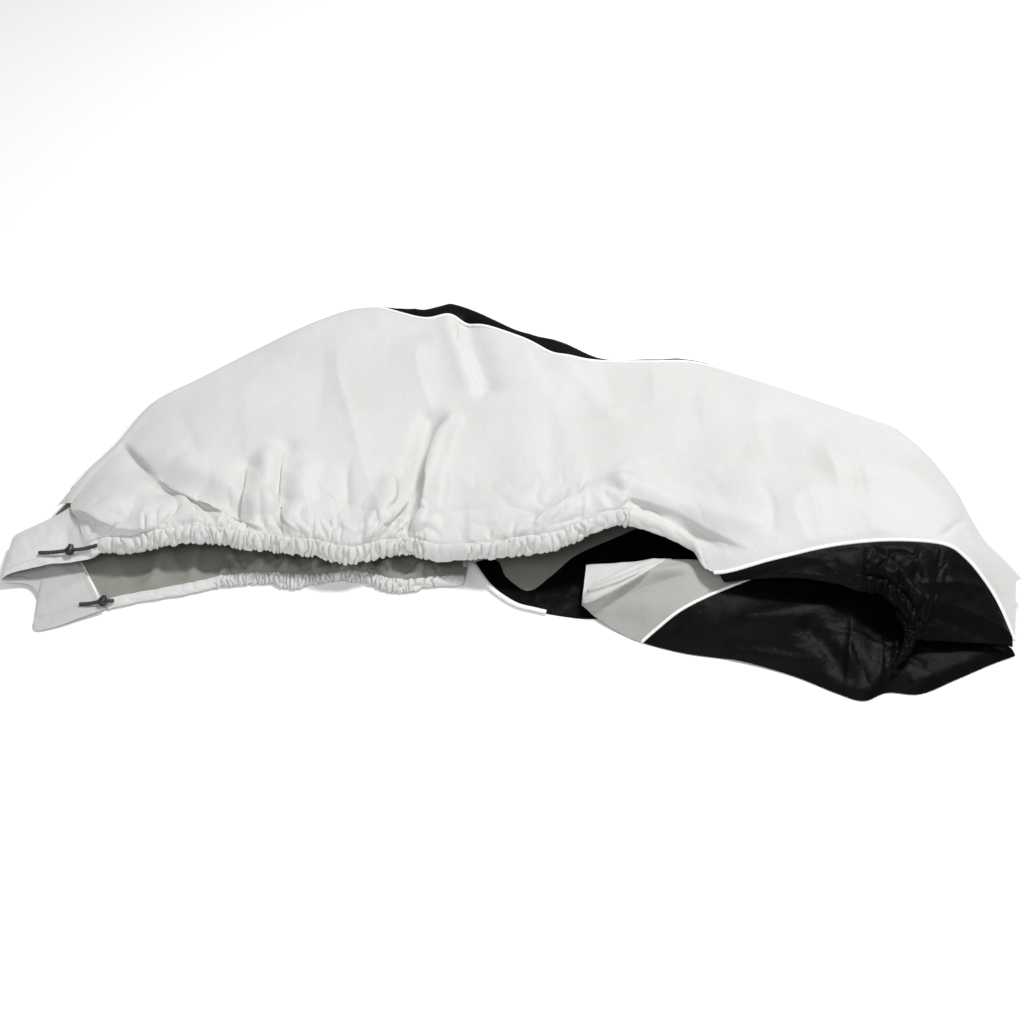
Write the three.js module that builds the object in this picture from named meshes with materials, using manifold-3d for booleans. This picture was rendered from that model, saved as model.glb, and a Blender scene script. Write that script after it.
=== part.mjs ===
// A fitted cover for a small personal watercraft, taken off and laid on its starboard-up side.
// Millimetres, +Z up, +X towards the bow, -Y towards the open hem. The origin is on the floor.
import * as THREE from 'three';
import { mergeVertices } from 'three/addons/utils/BufferGeometryUtils.js';
import Module from 'manifold-3d';

// Driving dimensions
const CENTRE_X = 4.9; // middle of the plan in the tables' own frame
const CENTRE_Y = 251.9;
const CLOTH = 2.4; // coated cloth with its seam allowance
const PIPING_RADIUS = 3.4;
const SEAM_GAP = 0.5; // clearance between a panel's edge and the piping sewn to it
const SEAM_HALF = PIPING_RADIUS + CLOTH * 0.2 + SEAM_GAP;
const CASING_WIDTH = 30; // hem casing round the elastic, across
const CASING_HALF_THICK = 6.5;
const BACK_REACH = 58; // how far the back of the cover stands behind its crest
const CORD_RADIUS = 4.5;
const CORD_SIDES = 8;
const LOCK_LENGTH = 27;
const LOCK_RADIUS = 9.5;
const LOCK_BORE_GAP = 0.6; // round the cord inside the lock
const FOLD_REACH = 42; // and the same for the fold at the bow
const ARC_STEPS = 16; // steps that measure the curve of the back
const FINE = 3; // columns for each row of the upper shell on what meets the starboard piping
const COARSE = 2; // and on what meets the port piping

const GREY = new THREE.Color(0.74, 0.75, 0.74);
const BLACK = new THREE.Color(0.03, 0.03, 0.033);
const WHITE = new THREE.Color(0.93, 0.93, 0.93);

// A table reads its column names from the header and gives one object for each row.
function table(header, ...rows) {
  const names = header.split(' ');
  return rows.map((row) => Object.fromEntries(names.map((name, i) => [name, row[i]])));
}

// Upper shell, a row for each line from the hem to the crest, stern to bow. lip, shoulder and middle
// are the heights behind the hem edge, at 30 % and at 60 % of the way; pipe is where the piping lies,
// in front of the crest where positive and behind it where negative.
const UPPER_ROWS = table(
  'frontX frontY frontZ crestX crestY crestZ lip shoulder middle pipe',
  [-1013, 15, 42, -1090, 215, 50, 20, 82, 70, -22],
  [-968, 24, 52, -1042, 322, 76, 24, 104, 96, -30],
  [-900, 12, 60, -985, 410, 96, 28, 112, 112, -36],
  [-840, 23, 68, -914, 564, 118, 28, 120, 126, -42],
  [-742, 34, 74, -802, 646, 138, 28, 126, 142, -46],
  [-620, 10, 74, -649, 755, 166, 28, 132, 156, -44],
  [-465, -11, 68, -489, 852, 194, 28, 134, 166, -34],
  [-376, -29, 62, -384, 877, 208, 28, 132, 170, -14],
  [-253, 12, 56, -238, 853, 218, 28, 128, 172, 26],
  [-165, -12, 56, -141, 860, 226, 28, 128, 172, 38],
  [26, -23, 80, 27, 736, 222, 28, 146, 178, 14],
  [121, -17, 98, 127, 698, 216, 26, 150, 178, 38],
  [245, 31, 128, 239, 637, 200, 24, 160, 178, 6],
  [334, 9, 130, 370, 637, 198, 22, 166, 184, 5],
  [427, -42, 116, 480, 633, 198, 20, 172, 192, 4],
  [476, -125, 116, 613, 553, 200, 12, 182, 204, -10],
  [613, -122, 156, 757, 449, 208, 12, 204, 222, -34],
  [745, -95, 172, 861, 383, 208, 12, 210, 228, -40],
  [862, -85, 180, 951, 318, 206, 12, 212, 226, -40],
  [965, -83, 176, 1010, 224, 200, 10, 202, 212, -38],
  [1024, -91, 168, 1053, 104, 190, 8, 186, 194, -34],
  [1060, -108, 148, 1074, 16, 176, 7, 162, 172, -30],
  [1092, -137, 122, 1102, -48, 150, 5, 134, 146, -24],
  [1130, -188, 80, 1147, -76, 116, 5, 98, 112, -18],
  [1160, -268, 32, 1190, -112, 76, 5, 50, 66, -14],
);

// Folds of the upper shell: soft ridges where the height is positive, troughs where negative.
const UPPER_FOLDS = table(
  'fromX fromY toX toY width height',
  [-150, 420, -212, 70, 26, 20], // pleat over the middle of the side
  [-196, 430, -258, 80, 30, -20],
  [-118, 780, -52, 540, 34, -22], // valley under the crest
  [-160, 800, -100, 560, 30, 10],
  [-930, 300, -850, 200, 42, -16], // stern crease, down to the gathers
  [-850, 200, -600, 80, 38, -18],
  [-800, 270, -600, 120, 36, 13],
  [-960, 130, -860, 80, 34, 12],
  [-650, 270, -640, 90, 28, -13],
  [-560, 330, -550, 70, 28, -13],
  [-602, 300, -596, 90, 28, 10],
  [-500, 250, -520, 70, 28, 10],
  [-290, 210, -330, 50, 26, 13],
  [-205, 180, -300, 80, 26, 13],
  [20, 30, 260, 150, 34, 14], // fold over the arch of the mouth
  [290, 150, 560, -20, 34, 15],
  [300, 90, 480, -20, 26, -10],
  [160, 610, 250, 440, 40, 10],
  [560, 200, 900, 60, 60, -10],
  [720, 320, 820, 120, 40, 9],
);

// Port panel on the floor, by the same rows as the upper shell; lift raises the hem off the floor.
const PORT_ROWS = table(
  'row frontX frontY lift',
  [0, -945, -130, 9],
  [1, -889, -108, 9],
  [2, -830, -92, 9],
  [3, -770, -74, 9],
  [4, -681, -46, 9],
  [5, -580, -33, 9],
  [6, -472, -45, 9],
  [7, -371, -28, 9],
  [8, -260, -60, 9],
  [9, -153, -46, 9],
  [9.5, -112, -38, 8],
  [9.75, -106, 0, 6],
  [9.9, -108, 62, 3],
  [10, -39, 64, 0],
  [10.35, -6, -8, 0],
  [10.7, 44, -58, 0],
  [11.3, 98, -8, 0],
  [12, 160, 70, 0],
  [13, 252, 135, 0],
  [14, 350, 194, 0],
  [16, 560, 262, 0],
  [18, 800, 225, 0],
  [20, 930, 60, 0],
  [21.5, 985, -30, 0],
  [23, 1040, -75, 0],
);

// Waves of the port panel behind its hem, where the elastic draws it in.
const PORT_FOLDS = table(
  'fromX fromY toX toY width height',
  [-860, -60, -840, 160, 22, 16],
  [-760, -40, -770, 180, 18, 14],
  [-600, 10, -640, 220, 18, 18],
  [-540, 10, -540, 240, 15, 16],
  [-470, 0, -440, 230, 16, 18],
  [-390, 10, -350, 220, 15, 16],
  [-300, 0, -260, 230, 16, 18],
  [-210, 0, -170, 240, 16, 14],
);

// Front of the port side at the bow: an arch of cloth from the floor up to a crown and down behind.
const FOLD_ROWS = table(
  'frontX frontY frontZ crestX crestY crestZ lip shoulder middle pipe',
  [172, -126, 14, 184, -30, 46, 18, 36, 42, 0],
  [196, -152, 10, 262, -36, 62, 22, 42, 54, 0],
  [228, -184, 6, 352, -44, 78, 22, 48, 64, 0],
  [264, -214, 3, 450, -56, 88, 22, 56, 76, 0],
  [306, -241, 2, 600, -92, 84, 20, 60, 78, 0],
  [402, -278, 2, 668, -70, 84, 20, 58, 76, 0],
  [520, -304, 2, 736, -62, 82, 20, 54, 72, 0],
  [640, -352, 2, 800, -84, 74, 20, 50, 66, 0],
  [738, -412, 2, 836, -118, 62, 20, 46, 56, 0],
  [792, -434, 2, 866, -190, 42, 20, 34, 40, 0],
  [848, -408, 2, 900, -210, 34, 18, 28, 32, 0],
  [922, -412, 2, 950, -200, 30, 18, 24, 28, 0],
  [1010, -366, 2, 1010, -190, 28, 16, 22, 26, 0],
  [1100, -316, 2, 1084, -190, 24, 12, 18, 22, 0],
  [1162, -286, 2, 1130, -222, 14, 8, 12, 13, 0],
);
const FOLD_SPLIT = 4; // the row where grey cloth meets black

const FOLD_RIPPLES = table(
  'fromX fromY toX toY width height',
  [190, -120, 420, -60, 16, 12], // the seam's ridge on the grey fold
  [205, -150, 400, -95, 12, -9],
  [560, -230, 800, -190, 34, 12],
  [520, -300, 700, -330, 20, 8],
  [690, -250, 770, -380, 24, -10],
);

// Black bow panel: from the piping down to its gathered hem and the crease below it.
const BOW_ROWS = table(
  'top lowX lowY lowZ swell',
  [15.1, 500, -142, 100, 0],
  [16, 632, -158, 128, 4],
  [17, 742, -178, 128, 8],
  [17.6, 800, -200, 122, 10],
  [18.2, 846, -210, 120, 12],
  [18.8, 884, -238, 108, 14],
  [19.3, 908, -272, 88, 16],
  [19.8, 918, -296, 66, 16],
  [20.4, 968, -292, 54, 16],
  [21.2, 1030, -290, 48, 14],
  [22, 1080, -288, 44, 10],
  [23, 1124, -286, 38, 6],
  [23.8, 1152, -284, 28, 2],
);

// Black band in the mouth: its outer edge, by the rows of the port panel. Its inner edge is the panel's.
const BAND_ROWS = table(
  'row outerX outerY',
  [10, -90, 44],
  [10.35, -55, -31],
  [10.5, -31, -68],
  [10.7, 14, -111],
  [11, 60, -130],
  [11.3, 100, -143],
  [12, 176, -158],
  [13, 262, -150],
  [14, 360, -120],
  [15, 455, -96],
  [16, 575, -100],
  [17, 690, -112],
  [18, 790, -140],
  [19, 868, -170],
  [20, 912, -192],
  [21.5, 972, -188],
);
const BAND_PIPING_END = 11.2; // the row where the band's piping goes under the fold

// Panel round the stern: lines from the back to the hem, over the top, round the left and back below.
const TRANSOM_ROWS = table(
  'backX backY backZ hemX hemY hemZ arch',
  [-1094, 214, 48, -1019, 8, 42, 22],
  [-1122, 172, 46, -1064, -6, 44, 20],
  [-1168, 140, 42, -1130, -18, 42, 16],
  [-1206, 116, 36, -1190, -34, 36, 10],
  [-1219, 104, 26, -1212, -46, 26, 5],
  [-1206, 108, 15, -1196, -44, 16, 2],
  [-1168, 130, 10, -1146, -48, 10, 2],
  [-1142, 146, 8, -1112, -110, 8, 4],
  [-1130, 154, 7, -1108, -196, 4, 8],
  [-1120, 158, 6, -1062, -192, 5, 10],
  [-1112, 158, 5, -1004, -162, 8, 8],
  [-1106, 152, 4, -953, -136, 11, 3],
);

// Drawcord ends: the route of each, from the end of its casing through the lock to the free end.
const UPPER_CORD = [
  [-992.5, 35, 66.4], [-1003, 32, 64.6], [-1016, 29, 62.6], [-1034, 24, 62.4], [-1056, 20, 63.6],
  [-1072, 18, 62], [-1090, 16.5, 60.2], [-1110, 15.5, 59.4], [-1132, 15, 59.4],
];
const LOWER_CORD = [
  [-934.5, -112, 17.4], [-945, -115.5, 20.2], [-958, -119, 23], [-972, -121, 20.6],
  [-984, -122.5, 18.6], [-998, -124, 17.8], [-1014, -125, 17.6],
];

// A smooth curve through the knots, with flat ends where asked for.
function smooth(knots, values, x, flatEnd = false) {
  const last = knots.length - 1;
  const at = Math.min(Math.max(x, knots[0]), knots[last]);
  let i = 0;
  while (i < last - 1 && at > knots[i + 1]) i += 1;
  const slope = (k) => {
    if (k === 0) return (values[1] - values[0]) / (knots[1] - knots[0]);
    if (k === last) return flatEnd ? 0 : (values[last] - values[last - 1]) / (knots[last] - knots[last - 1]);
    return (values[k + 1] - values[k - 1]) / (knots[k + 1] - knots[k - 1]);
  };
  const span = knots[i + 1] - knots[i];
  const t = (at - knots[i]) / span;
  const t2 = t * t;
  const t3 = t2 * t;
  return (2 * t3 - 3 * t2 + 1) * values[i] + (t3 - 2 * t2 + t) * span * slope(i)
    + (3 * t2 - 2 * t3) * values[i + 1] + (t3 - t2) * span * slope(i + 1);
}

// The row at a fractional place in a table; key names the column of places, or the index serves.
function rowAt(rows, place, key) {
  const knots = rows.map((row, i) => (key ? row[key] : i));
  const names = Object.keys(rows[0]).filter((name) => name !== key);
  return Object.fromEntries(names.map((name) => [name, smooth(knots, rows.map((r) => r[name]), place)]));
}

// Height that a table of folds adds at a place on the plan.
function foldHeight(folds, x, y) {
  let height = 0;
  for (const fold of folds) {
    const dx = fold.toX - fold.fromX;
    const dy = fold.toY - fold.fromY;
    const length2 = dx * dx + dy * dy;
    const along = ((x - fold.fromX) * dx + (y - fold.fromY) * dy) / length2;
    const clamped = Math.min(Math.max(along, 0), 1);
    const offX = x - fold.fromX - clamped * dx;
    const offY = y - fold.fromY - clamped * dy;
    height += fold.height * Math.exp(-(offX * offX + offY * offY) / (fold.width * fold.width));
  }
  return height;
}

// A shell of cloth: each row runs from its front edge up to the crest, then down a quarter ellipse.
class Shell {
  constructor(rows, folds, reach) {
    this.rows = rows;
    this.folds = folds;
    this.reach = reach;
    this.known = new Map();
  }

  row(place) {
    if (!this.known.has(place)) {
      const row = rowAt(this.rows, place);
      row.length = Math.hypot(row.crestX - row.frontX, row.crestY - row.frontY);
      this.known.set(place, row);
    }
    return this.known.get(place);
  }

  // Outward direction on the plan, square to the crest line or to the front edge.
  outward(place, edge = 'crest') {
    const last = this.rows.length - 1;
    const before = this.row(Math.max(place - 0.8, 0));
    const after = this.row(Math.min(place + 0.8, last));
    const dx = after[`${edge}X`] - before[`${edge}X`];
    const dy = after[`${edge}Y`] - before[`${edge}Y`];
    return new THREE.Vector2(-dy, dx).normalize();
  }

  // Lengths along the quarter ellipse behind the crest, at even steps of its angle.
  backLengths(row) {
    const lengths = [0];
    for (let k = 1; k <= ARC_STEPS; k += 1) {
      const middle = (k - 0.5) * Math.PI / (2 * ARC_STEPS);
      const step = Math.hypot(this.reach * Math.cos(middle), row.crestZ * Math.sin(middle));
      lengths.push(lengths[k - 1] + step * Math.PI / (2 * ARC_STEPS));
    }
    return lengths;
  }

  backArc(row) {
    return this.backLengths(row)[ARC_STEPS];
  }

  // How much further a clearance reaches along a row that meets the crest line, or the front edge, at a slant.
  slant(place, edge) {
    const row = this.row(place);
    const along = new THREE.Vector2(row.crestX - row.frontX, row.crestY - row.frontY).normalize();
    return 1 / Math.max(Math.abs(along.dot(this.outward(place, edge))), 0.3);
  }

  // The point at a signed distance from the crest: positive towards the front, negative behind.
  point(place, distance) {
    const row = this.row(place);
    if (distance < 0) {
      const lengths = this.backLengths(row);
      const k = Math.min(Math.max(lengths.findIndex((l) => l >= -distance), 1), ARC_STEPS);
      const inStep = Math.min((-distance - lengths[k - 1]) / (lengths[k] - lengths[k - 1]), 1);
      const turn = (k - 1 + inStep) * Math.PI / (2 * ARC_STEPS);
      const out = this.outward(place).multiplyScalar(this.reach * Math.sin(turn));
      return new THREE.Vector3(row.crestX + out.x, row.crestY + out.y, row.crestZ * Math.cos(turn));
    }
    const run = row.length - Math.min(distance, row.length);
    const share = run / row.length;
    const x = row.frontX + (row.crestX - row.frontX) * share;
    const y = row.frontY + (row.crestY - row.frontY) * share;
    const lipRun = Math.min(CASING_WIDTH, 0.15 * row.length);
    const knots = [0, lipRun, 0.3 * row.length, 0.6 * row.length, row.length];
    const heights = [row.frontZ, row.frontZ + row.lip, row.shoulder, row.middle, row.crestZ];
    const fade = Math.min(distance / 60, 1) * Math.min(0.35 + run / 60, 1);
    const z = smooth(knots, heights, run, true) + fade * foldHeight(this.folds, x, y);
    return new THREE.Vector3(x, y, z);
  }
}

// Closed solid of a point grid given thickness on both sides, kept above the floor.
function thickSheet(grid, thickness) {
  const rows = grid.length;
  const columns = grid[0].length;
  const positions = [];
  const normalAt = (i, j) => {
    const along = grid[Math.min(i + 1, rows - 1)][j].clone().sub(grid[Math.max(i - 1, 0)][j]);
    const across = grid[i][Math.min(j + 1, columns - 1)].clone().sub(grid[i][Math.max(j - 1, 0)]);
    return along.cross(across).normalize();
  };
  for (const side of [0.5, -0.5]) {
    for (let i = 0; i < rows; i += 1) {
      for (let j = 0; j < columns; j += 1) {
        const p = grid[i][j].clone().addScaledVector(normalAt(i, j), side * thickness);
        positions.push(p.x, p.y, Math.max(p.z, 0));
      }
    }
  }
  const index = [];
  const layer = rows * columns;
  const id = (i, j, side) => side * layer + i * columns + j;
  const quad = (a, b, c, d) => index.push(a, b, c, a, c, d);
  for (let i = 0; i < rows - 1; i += 1) {
    for (let j = 0; j < columns - 1; j += 1) {
      quad(id(i, j, 0), id(i + 1, j, 0), id(i + 1, j + 1, 0), id(i, j + 1, 0));
      quad(id(i, j, 1), id(i, j + 1, 1), id(i + 1, j + 1, 1), id(i + 1, j, 1));
    }
  }
  for (let i = 0; i < rows - 1; i += 1) {
    quad(id(i, 0, 1), id(i + 1, 0, 1), id(i + 1, 0, 0), id(i, 0, 0));
    quad(id(i, columns - 1, 0), id(i + 1, columns - 1, 0), id(i + 1, columns - 1, 1), id(i, columns - 1, 1));
  }
  for (let j = 0; j < columns - 1; j += 1) {
    quad(id(0, j, 0), id(0, j + 1, 0), id(0, j + 1, 1), id(0, j, 1));
    quad(id(rows - 1, j, 1), id(rows - 1, j + 1, 1), id(rows - 1, j + 1, 0), id(rows - 1, j, 0));
  }
  return outward(positions, index);
}

// Indexed geometry with its faces pointing out.
function outward(positions, index) {
  let volume = 0;
  const p = (k) => new THREE.Vector3().fromArray(positions, 3 * k);
  for (let k = 0; k < index.length; k += 3) {
    volume += p(index[k]).dot(p(index[k + 1]).cross(p(index[k + 2])));
  }
  if (volume < 0) index.reverse();
  const geometry = new THREE.BufferGeometry();
  geometry.setAttribute('position', new THREE.Float32BufferAttribute(positions, 3));
  geometry.setIndex(index);
  return geometry;
}

// Closed tube of rings; each ring has a centre, two axes and the half widths along them.
function ringTube(rings, sides) {
  const positions = [];
  const index = [];
  for (const ring of rings) {
    for (let k = 0; k < sides; k += 1) {
      const angle = 2 * Math.PI * k / sides;
      const p = ring.centre.clone()
        .addScaledVector(ring.wide, ring.halfWide * Math.cos(angle))
        .addScaledVector(ring.thin, ring.halfThin * Math.sin(angle));
      positions.push(p.x, p.y, Math.max(p.z, 0.1));
    }
  }
  for (let i = 0; i < rings.length - 1; i += 1) {
    for (let k = 0; k < sides; k += 1) {
      const a = i * sides + k;
      const b = i * sides + (k + 1) % sides;
      index.push(a, b, b + sides, a, b + sides, a + sides);
    }
  }
  for (let k = 1; k < sides - 1; k += 1) {
    const end = (rings.length - 1) * sides;
    index.push(0, k + 1, k, end, end + k, end + k + 1);
  }
  return outward(positions, index);
}

// Piping or cord: a round tube through points, its rings square to the path.
function roundTube(points, radius, sides) {
  const rings = points.map((centre, i) => {
    const ahead = points[Math.min(i + 1, points.length - 1)];
    const behind = points[Math.max(i - 1, 0)];
    const along = ahead.clone().sub(behind).normalize();
    const wide = new THREE.Vector3(-along.y, along.x, 0).normalize();
    return { centre, wide, thin: wide.clone().cross(along).normalize(), halfWide: radius, halfThin: radius };
  });
  return ringTube(rings, sides);
}

const piping = (points) => roundTube(points, PIPING_RADIUS, 5);

const wasm = await Module();
wasm.setup();

function toManifold(geometry) {
  const merged = mergeVertices(geometry.clone(), 1e-4);
  return new wasm.Manifold(new wasm.Mesh({
    numProp: 3,
    vertProperties: Float32Array.from(merged.attributes.position.array),
    triVerts: Uint32Array.from(merged.index.array),
  }));
}

function fromManifold(solid) {
  const mesh = solid.getMesh();
  const geometry = new THREE.BufferGeometry();
  geometry.setAttribute('position', new THREE.Float32BufferAttribute(Float32Array.from(mesh.vertProperties), 3));
  geometry.setIndex(Array.from(mesh.triVerts));
  return geometry;
}

const joined = (...geometries) => fromManifold(geometries.map(toManifold).reduce((a, b) => a.add(b)));

const range = (from, to, steps) => Array.from({ length: steps + 1 }, (_, i) => from + (to - from) * i / steps);

// Gathered casing along an edge: the ruffles swell and shrink from ring to ring.
function gatheredCasing({ edge, inward, from, to, ruffles, halfWide, halfThin, sides = 5 }) {
  const rings = range(from, to, ruffles * 2).map((place, i) => {
    const centre = edge(place);
    const along = edge(place + 0.02).sub(edge(place - 0.02)).normalize();
    const wide = inward(place);
    const thin = along.clone().cross(wide).normalize();
    const swell = i % 2 === 0 ? 1.22 : 0.74;
    const sway = 1 + 0.12 * Math.sin(2.3 * i) + 0.08 * Math.sin(0.71 * i);
    return { centre, wide, thin, halfWide: halfWide * (0.94 + 0.1 * (swell - 1)) * sway, halfThin: halfThin * swell };
  });
  return ringTube(rings, sides);
}

const upper = new Shell(UPPER_ROWS, UPPER_FOLDS, BACK_REACH);
const lastRow = UPPER_ROWS.length - 1;

// Starboard side panel, from its hem over the crest to the piping, with the casing.
function starboardPanel() {
  const grid = range(0, lastRow, lastRow * FINE).map((place) => {
    const row = upper.row(place);
    const end = row.pipe + SEAM_HALF * upper.slant(place, 'crest');
    const front = row.length - (place > 14.9 ? SEAM_HALF * upper.slant(place, 'front') : 0);
    return range(0, 1, 11).map((share) => upper.point(place, front + (end - front) * share));
  });
  const hem = gatheredCasing({
    edge: (place) => upper.point(place, upper.row(place).length - CASING_WIDTH / 2),
    inward: (place) => {
      const length = upper.row(place).length;
      return upper.point(place, length - CASING_WIDTH).sub(upper.point(place, length)).normalize();
    },
    from: 0.7, to: 14.3, ruffles: 50, halfWide: CASING_WIDTH / 2 + 2, halfThin: CASING_HALF_THICK,
  });
  return joined(thickSheet(grid, CLOTH), hem);
}

// Black strip from the starboard piping over the back of the cover to the port piping.
function centreStrip() {
  const grid = range(0, lastRow, lastRow * FINE).map((place) => {
    const row = upper.row(place);
    const start = row.pipe - SEAM_HALF * upper.slant(place, 'crest');
    const end = -(upper.backArc(row) - 2 * PIPING_RADIUS - 2.2);
    return range(0, 1, 5).map((share) => upper.point(place, start + (end - start) * share));
  });
  return thickSheet(grid, CLOTH);
}

// Port piping along the foot of the back, lying on the floor.
const footPoint = (place) => {
  const row = upper.row(place);
  const out = upper.outward(place).multiplyScalar(BACK_REACH);
  return new THREE.Vector3(row.crestX + out.x, row.crestY + out.y, PIPING_RADIUS);
};

// Every half row of the port panel and every row of its table.
const lastPortRow = PORT_ROWS[PORT_ROWS.length - 1].row;
const halfRows = range(0, lastPortRow, lastPortRow * COARSE);
const portPlaces = [...new Set([...halfRows, ...PORT_ROWS.map((row) => row.row)])].sort((a, b) => a - b);

// Port side panel on the floor, from its hem back to the port piping.
function portPanel() {
  const at = (place, share) => {
    const row = rowAt(PORT_ROWS, place, 'row');
    const inset = upper.outward(place).multiplyScalar(PIPING_RADIUS + SEAM_GAP);
    const back = footPoint(place);
    const x = row.frontX + (back.x - inset.x - row.frontX) * share;
    const y = row.frontY + (back.y - inset.y - row.frontY) * share;
    const run = share * Math.hypot(back.x - row.frontX, back.y - row.frontY);
    const rise = row.lift * Math.exp(-((run / 70) ** 2)) * Math.max(1 - run / 200, 0);
    const waves = foldHeight(PORT_FOLDS, x, y) * Math.min(run / 60, 1);
    return new THREE.Vector3(x, y, CLOTH / 2 + Math.max(rise + waves, 0));
  };
  const grid = portPlaces.map((place) => range(0, 1, 6).map((share) => at(place, share ** 1.6)));
  const hem = gatheredCasing({
    edge: (place) => {
      const row = rowAt(PORT_ROWS, place, 'row');
      return new THREE.Vector3(row.frontX, row.frontY + CASING_WIDTH / 2, row.lift);
    },
    inward: () => new THREE.Vector3(0, 0.97, 0.25).normalize(),
    from: 0.35, to: 9.4, ruffles: 38, halfWide: CASING_WIDTH / 2 + 1, halfThin: CASING_HALF_THICK,
  });
  return joined(thickSheet(grid, CLOTH), hem);
}

// Panel round the stern.
function transomPanel() {
  const grid = range(0, TRANSOM_ROWS.length - 1, 22).map((place) => {
    const row = rowAt(TRANSOM_ROWS, place);
    return range(0, 1, 5).map((share) => new THREE.Vector3(
      row.backX + (row.hemX - row.backX) * share,
      row.backY + (row.hemY - row.backY) * share,
      row.backZ + (row.hemZ - row.backZ) * share + row.arch * Math.sin(Math.PI * share),
    ));
  });
  return thickSheet(grid, CLOTH);
}

// Black bow panel under the piping, with its gathered hem.
function bowPanel() {
  const lastBow = BOW_ROWS.length - 1;
  const at = (place, share) => {
    const row = rowAt(BOW_ROWS, place);
    const length = upper.row(row.top).length;
    const top = upper.point(row.top, length);
    const low = new THREE.Vector3(row.lowX, row.lowY, row.lowZ);
    const seam = upper.point(row.top + 0.2, upper.row(row.top + 0.2).length)
      .sub(upper.point(row.top - 0.2, upper.row(row.top - 0.2).length)).normalize();
    const down = low.clone().sub(top).normalize();
    const drop = (SEAM_HALF + 1) / Math.max(down.clone().cross(seam).length(), 0.25);
    const start = top.clone().addScaledVector(down, drop);
    const p = start.lerp(low, share);
    p.z += row.swell * Math.sin(Math.PI * share);
    return p;
  };
  const grid = range(0, lastBow, 26).map((place) => range(0, 1, 5).map((share) => at(place, share)));
  const hem = gatheredCasing({
    edge: (place) => at(place, 0.93),
    inward: (place) => at(place, 0.8).sub(at(place, 1)).normalize(),
    from: 3.4, to: 7.4, ruffles: 9, halfWide: 19, halfThin: 9,
  });
  return joined(thickSheet(grid, CLOTH), hem);
}

// Black band in the mouth, flat on the floor, sewn to the edge of the port panel.
function bowBand() {
  const first = BAND_ROWS[0].row;
  const last = BAND_ROWS[BAND_ROWS.length - 1].row;
  const grid = portPlaces.filter((place) => place >= first && place <= last).map((place) => {
    const row = rowAt(BAND_ROWS, place, 'row');
    const panel = rowAt(PORT_ROWS, place, 'row');
    const outer = new THREE.Vector3(row.outerX, row.outerY, CLOTH / 2);
    const inner = new THREE.Vector3(panel.frontX, panel.frontY, CLOTH / 2);
    inner.addScaledVector(outer.clone().sub(inner).normalize(), 4 * SEAM_GAP);
    return range(0, 1, 2).map((share) => outer.clone().lerp(inner, share));
  });
  return thickSheet(grid, CLOTH);
}

// Piping on the outer edge of the band, as far as the fold.
function bandPipingPath() {
  return range(BAND_ROWS[0].row + 0.02, BAND_PIPING_END, 12).map((place) => {
    const row = rowAt(BAND_ROWS, place, 'row');
    return new THREE.Vector3(row.outerX, row.outerY, CLOTH + SEAM_GAP + PIPING_RADIUS);
  });
}

const arch = new Shell(FOLD_ROWS, FOLD_RIPPLES, FOLD_REACH);

// A point of the arch of cloth by its row and its share of the way from front to back.
function archPoint(place, share) {
  const row = arch.row(place);
  const end = -arch.backArc(row) * 0.8;
  return arch.point(place, row.length + (end - row.length) * share);
}

// How many rows make up the clearance beside the seam in the arch, at a share of the way back.
function seamRows(share) {
  const along = archPoint(FOLD_SPLIT, Math.min(share + 0.02, 1)).sub(archPoint(FOLD_SPLIT, Math.max(share - 0.02, 0)));
  const across = archPoint(FOLD_SPLIT + 0.1, share).sub(archPoint(FOLD_SPLIT - 0.1, share));
  return 0.2 * SEAM_HALF / across.cross(along.normalize()).length();
}

// Part of the arch, from one of its rows to the seam.
function archPart(from, side, steps) {
  const shares = range(0, 1, 8);
  const seam = shares.map((share) => FOLD_SPLIT + side * 1.1 * seamRows(share));
  const grid = range(0, 1, steps).map((t) => shares.map((share, j) => archPoint(from + (seam[j] - from) * t, share)));
  return thickSheet(grid, CLOTH);
}

// Round tube along the route of a cord, with a step every two diameters.
function cordTube(route, radius) {
  const path = new THREE.CatmullRomCurve3(route.map((p) => new THREE.Vector3(...p)), false, 'centripetal');
  const section = new THREE.Shape(range(0, 2 * Math.PI, CORD_SIDES).slice(1).map(
    (angle) => new THREE.Vector2(radius * Math.cos(angle), radius * Math.sin(angle)),
  ));
  const steps = Math.round(path.getLength() / (4 * CORD_RADIUS));
  const tube = new THREE.ExtrudeGeometry(section, { steps, extrudePath: path, bevelEnabled: false });
  tube.deleteAttribute('normal');
  tube.deleteAttribute('uv');
  return mergeVertices(tube, 1e-3);
}

// Cord lock: a barrel with a waist and a button, bored across for the cord.
function cordLock(route, centre, axis) {
  const outline = [
    [0, 0], [0.8 * LOCK_RADIUS, 0], [LOCK_RADIUS, 2], [LOCK_RADIUS, 0.66 * LOCK_LENGTH],
    [0.74 * LOCK_RADIUS, 0.7 * LOCK_LENGTH], [0.74 * LOCK_RADIUS, 0.9 * LOCK_LENGTH],
    [0.5 * LOCK_RADIUS, LOCK_LENGTH], [0, LOCK_LENGTH],
  ].map(([radius, height]) => new THREE.Vector2(radius, height - 0.42 * LOCK_LENGTH));
  const barrel = new THREE.LatheGeometry(outline, 14);
  barrel.deleteAttribute('normal');
  barrel.deleteAttribute('uv');
  barrel.applyQuaternion(new THREE.Quaternion().setFromUnitVectors(new THREE.Vector3(0, 1, 0), axis.normalize()));
  barrel.translate(...centre);
  const bore = cordTube(route, CORD_RADIUS + LOCK_BORE_GAP);
  return fromManifold(toManifold(barrel).subtract(toManifold(bore)));
}

const cover = new THREE.Group();

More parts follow.
